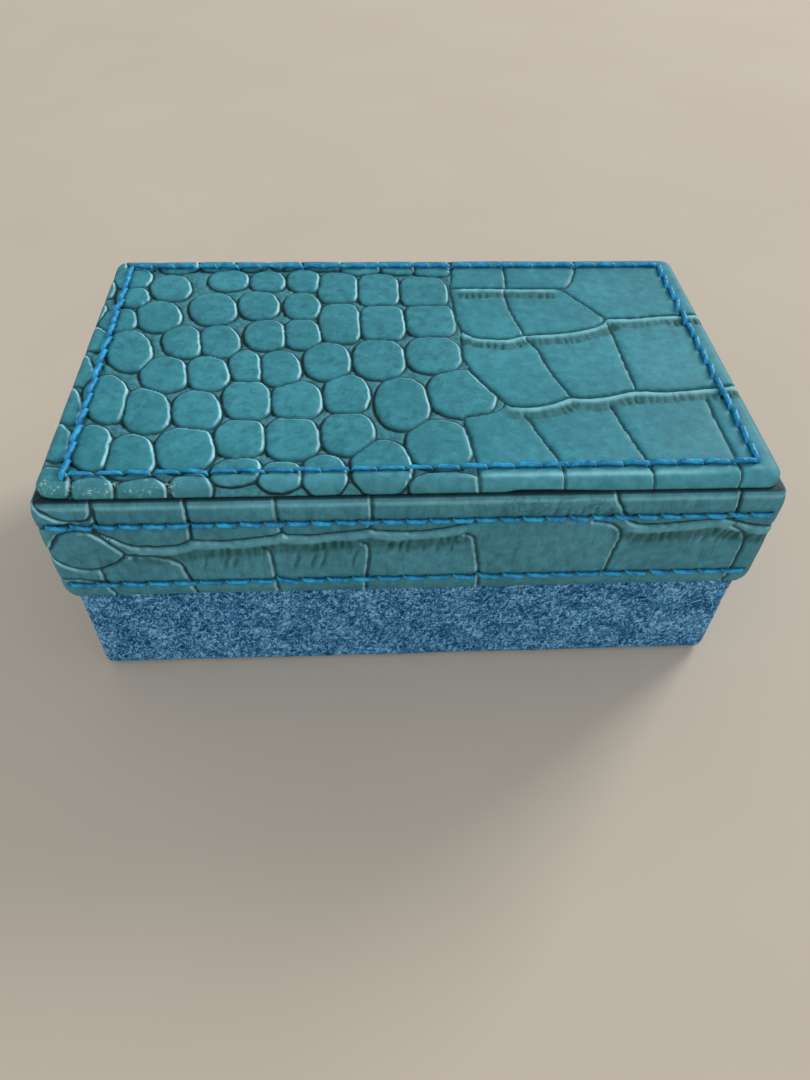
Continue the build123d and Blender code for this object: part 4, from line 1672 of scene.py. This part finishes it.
def panel_pad():
    """The thin pad under the panel's leather, its edges cut soft."""
    size = pad_high - pad_low
    bm = bmesh.new()
    bmesh.ops.create_cube(bm, size=MM)
    bmesh.ops.scale(bm, verts=bm.verts, vec=size)
    upright = [edge for edge in bm.edges if abs(edge.verts[0].co.z - edge.verts[1].co.z) > 0.1 * MM]
    bmesh.ops.bevel(bm, geom=upright, offset=corner_radius * MM, segments=5, **even_bevel)
    rim = [edge for edge in bm.edges if min(vert.co.z for vert in edge.verts) > 0]
    bmesh.ops.bevel(bm, geom=rim, offset=min(1.0, 0.9 * size.z) * MM, segments=4, **even_bevel)
    bmesh.ops.translate(bm, verts=bm.verts, vec=(pad_low + pad_high) / 2 * MM)
    pad = finish_piece(bm, "panel_pad", foam, "lid", ["top_panel_padding"])


# Stage, light and camera

# In metres, but for how far the floor lies under the case, which is in millimetres
floor_half = 4.0
lamp_target = Vector((0, 0, 0.02))
floor_drop = 0.01

sky = (0.93, 0.96, 1.0, 1.0)
sky_strength = 0.56


def stage():
    """A plain pale floor."""
    finish = Finish("floor_finish")
    cloud = finish.noise(finish.object_place(), 60.0, 2.0)
    tone = finish.mix(colour("C0B4A4"), colour("C8BDAE"), cloud)
    finish.surface(Base_Color=tone, Roughness=0.9, Specular_IOR_Level=0.1)
    bm = bmesh.new()
    bmesh.ops.create_grid(bm, x_segments=1, y_segments=1, size=floor_half)
    bmesh.ops.translate(bm, verts=bm.verts, vec=(0, 0, -floor_drop * MM))
    mesh = bpy.data.meshes.new("floor")
    bm.to_mesh(mesh)
    bm.free()
    floor = bpy.data.objects.new("floor", mesh)
    mesh.materials.append(finish.material)
    bpy.context.scene.collection.objects.link(floor)


def lamp(name, place, power, size, tint):
    """A square soft light that points at the case. Its place is in metres."""
    data = bpy.data.lights.new(name, "AREA")
    data.energy = power
    data.size = size
    data.color = tint
    made = bpy.data.objects.new(name, data)
    made.location = place
    made.rotation_euler = (lamp_target - Vector(place)).to_track_quat("-Z", "Y").to_euler()
    bpy.context.scene.collection.objects.link(made)


def light():
    """An even pale sky, a window at the back right and a broad soft light in front."""
    world = bpy.data.worlds.new("studio")
    world.use_nodes = True
    background = world.node_tree.nodes["Background"]
    background.inputs["Color"].default_value = sky
    background.inputs["Strength"].default_value = sky_strength
    bpy.context.scene.world = world
    lamp("window", (1.85, 1.6, 1.3), 50.0, 0.9, (1.0, 0.98, 0.95))
    lamp("ceiling", (-0.4, -1.9, 1.9), 18.0, 1.6, (0.97, 0.98, 1.0))


# The camera as it stood for the photo. The photo is upright, so the sensor's width spans its height.
camera_place = Vector((-7.51, -111.33, 118.29))
camera_yaw = radians(4.265)
camera_pitch = radians(47.399)
camera_roll = radians(-1.967)
photo_height = 1080
focal_pixels = 801
sensor = 36.0


def camera():
    """The photo's camera: turned by its yaw, tilted down by its pitch, and rolled."""
    data = bpy.data.cameras.new("camera")
    data.sensor_width = sensor
    data.lens = sensor * focal_pixels / photo_height
    data.clip_start = 0.01
    eye = bpy.data.objects.new("camera", data)
    heading = Matrix.Rotation(-camera_yaw, 3, "Z")
    tilt = Matrix.Rotation(pi / 2 - camera_pitch, 3, "X")
    turn = Matrix.Rotation(-camera_roll, 3, "Z")
    eye.matrix_world = Matrix.Translation(camera_place * MM) @ (heading @ tilt @ turn).to_4x4()
    bpy.context.scene.collection.objects.link(eye)
    bpy.context.scene.camera = eye


camera()
light()
stage()
dress_frame_nodes()
top_panel()
lid_band()
panel_threads()
band_threads("band_upper_thread", upper_stitches, "band_upper_stitching", 22)
band_threads("band_lower_thread", lower_stitches, "band_lower_stitching", 23)
panel_pad()
base_suede()
neck_strip()
folded_cover("long_divider_cloth", "long_divider_cover", "long_divider_board", True)
folded_cover("cross_divider_cloth", "cross_divider_cover", "cross_divider_board", False)
for number in range(1, 5):
    ring_roll(number)

bpy.context.scene.view_settings.view_transform = "Standard"
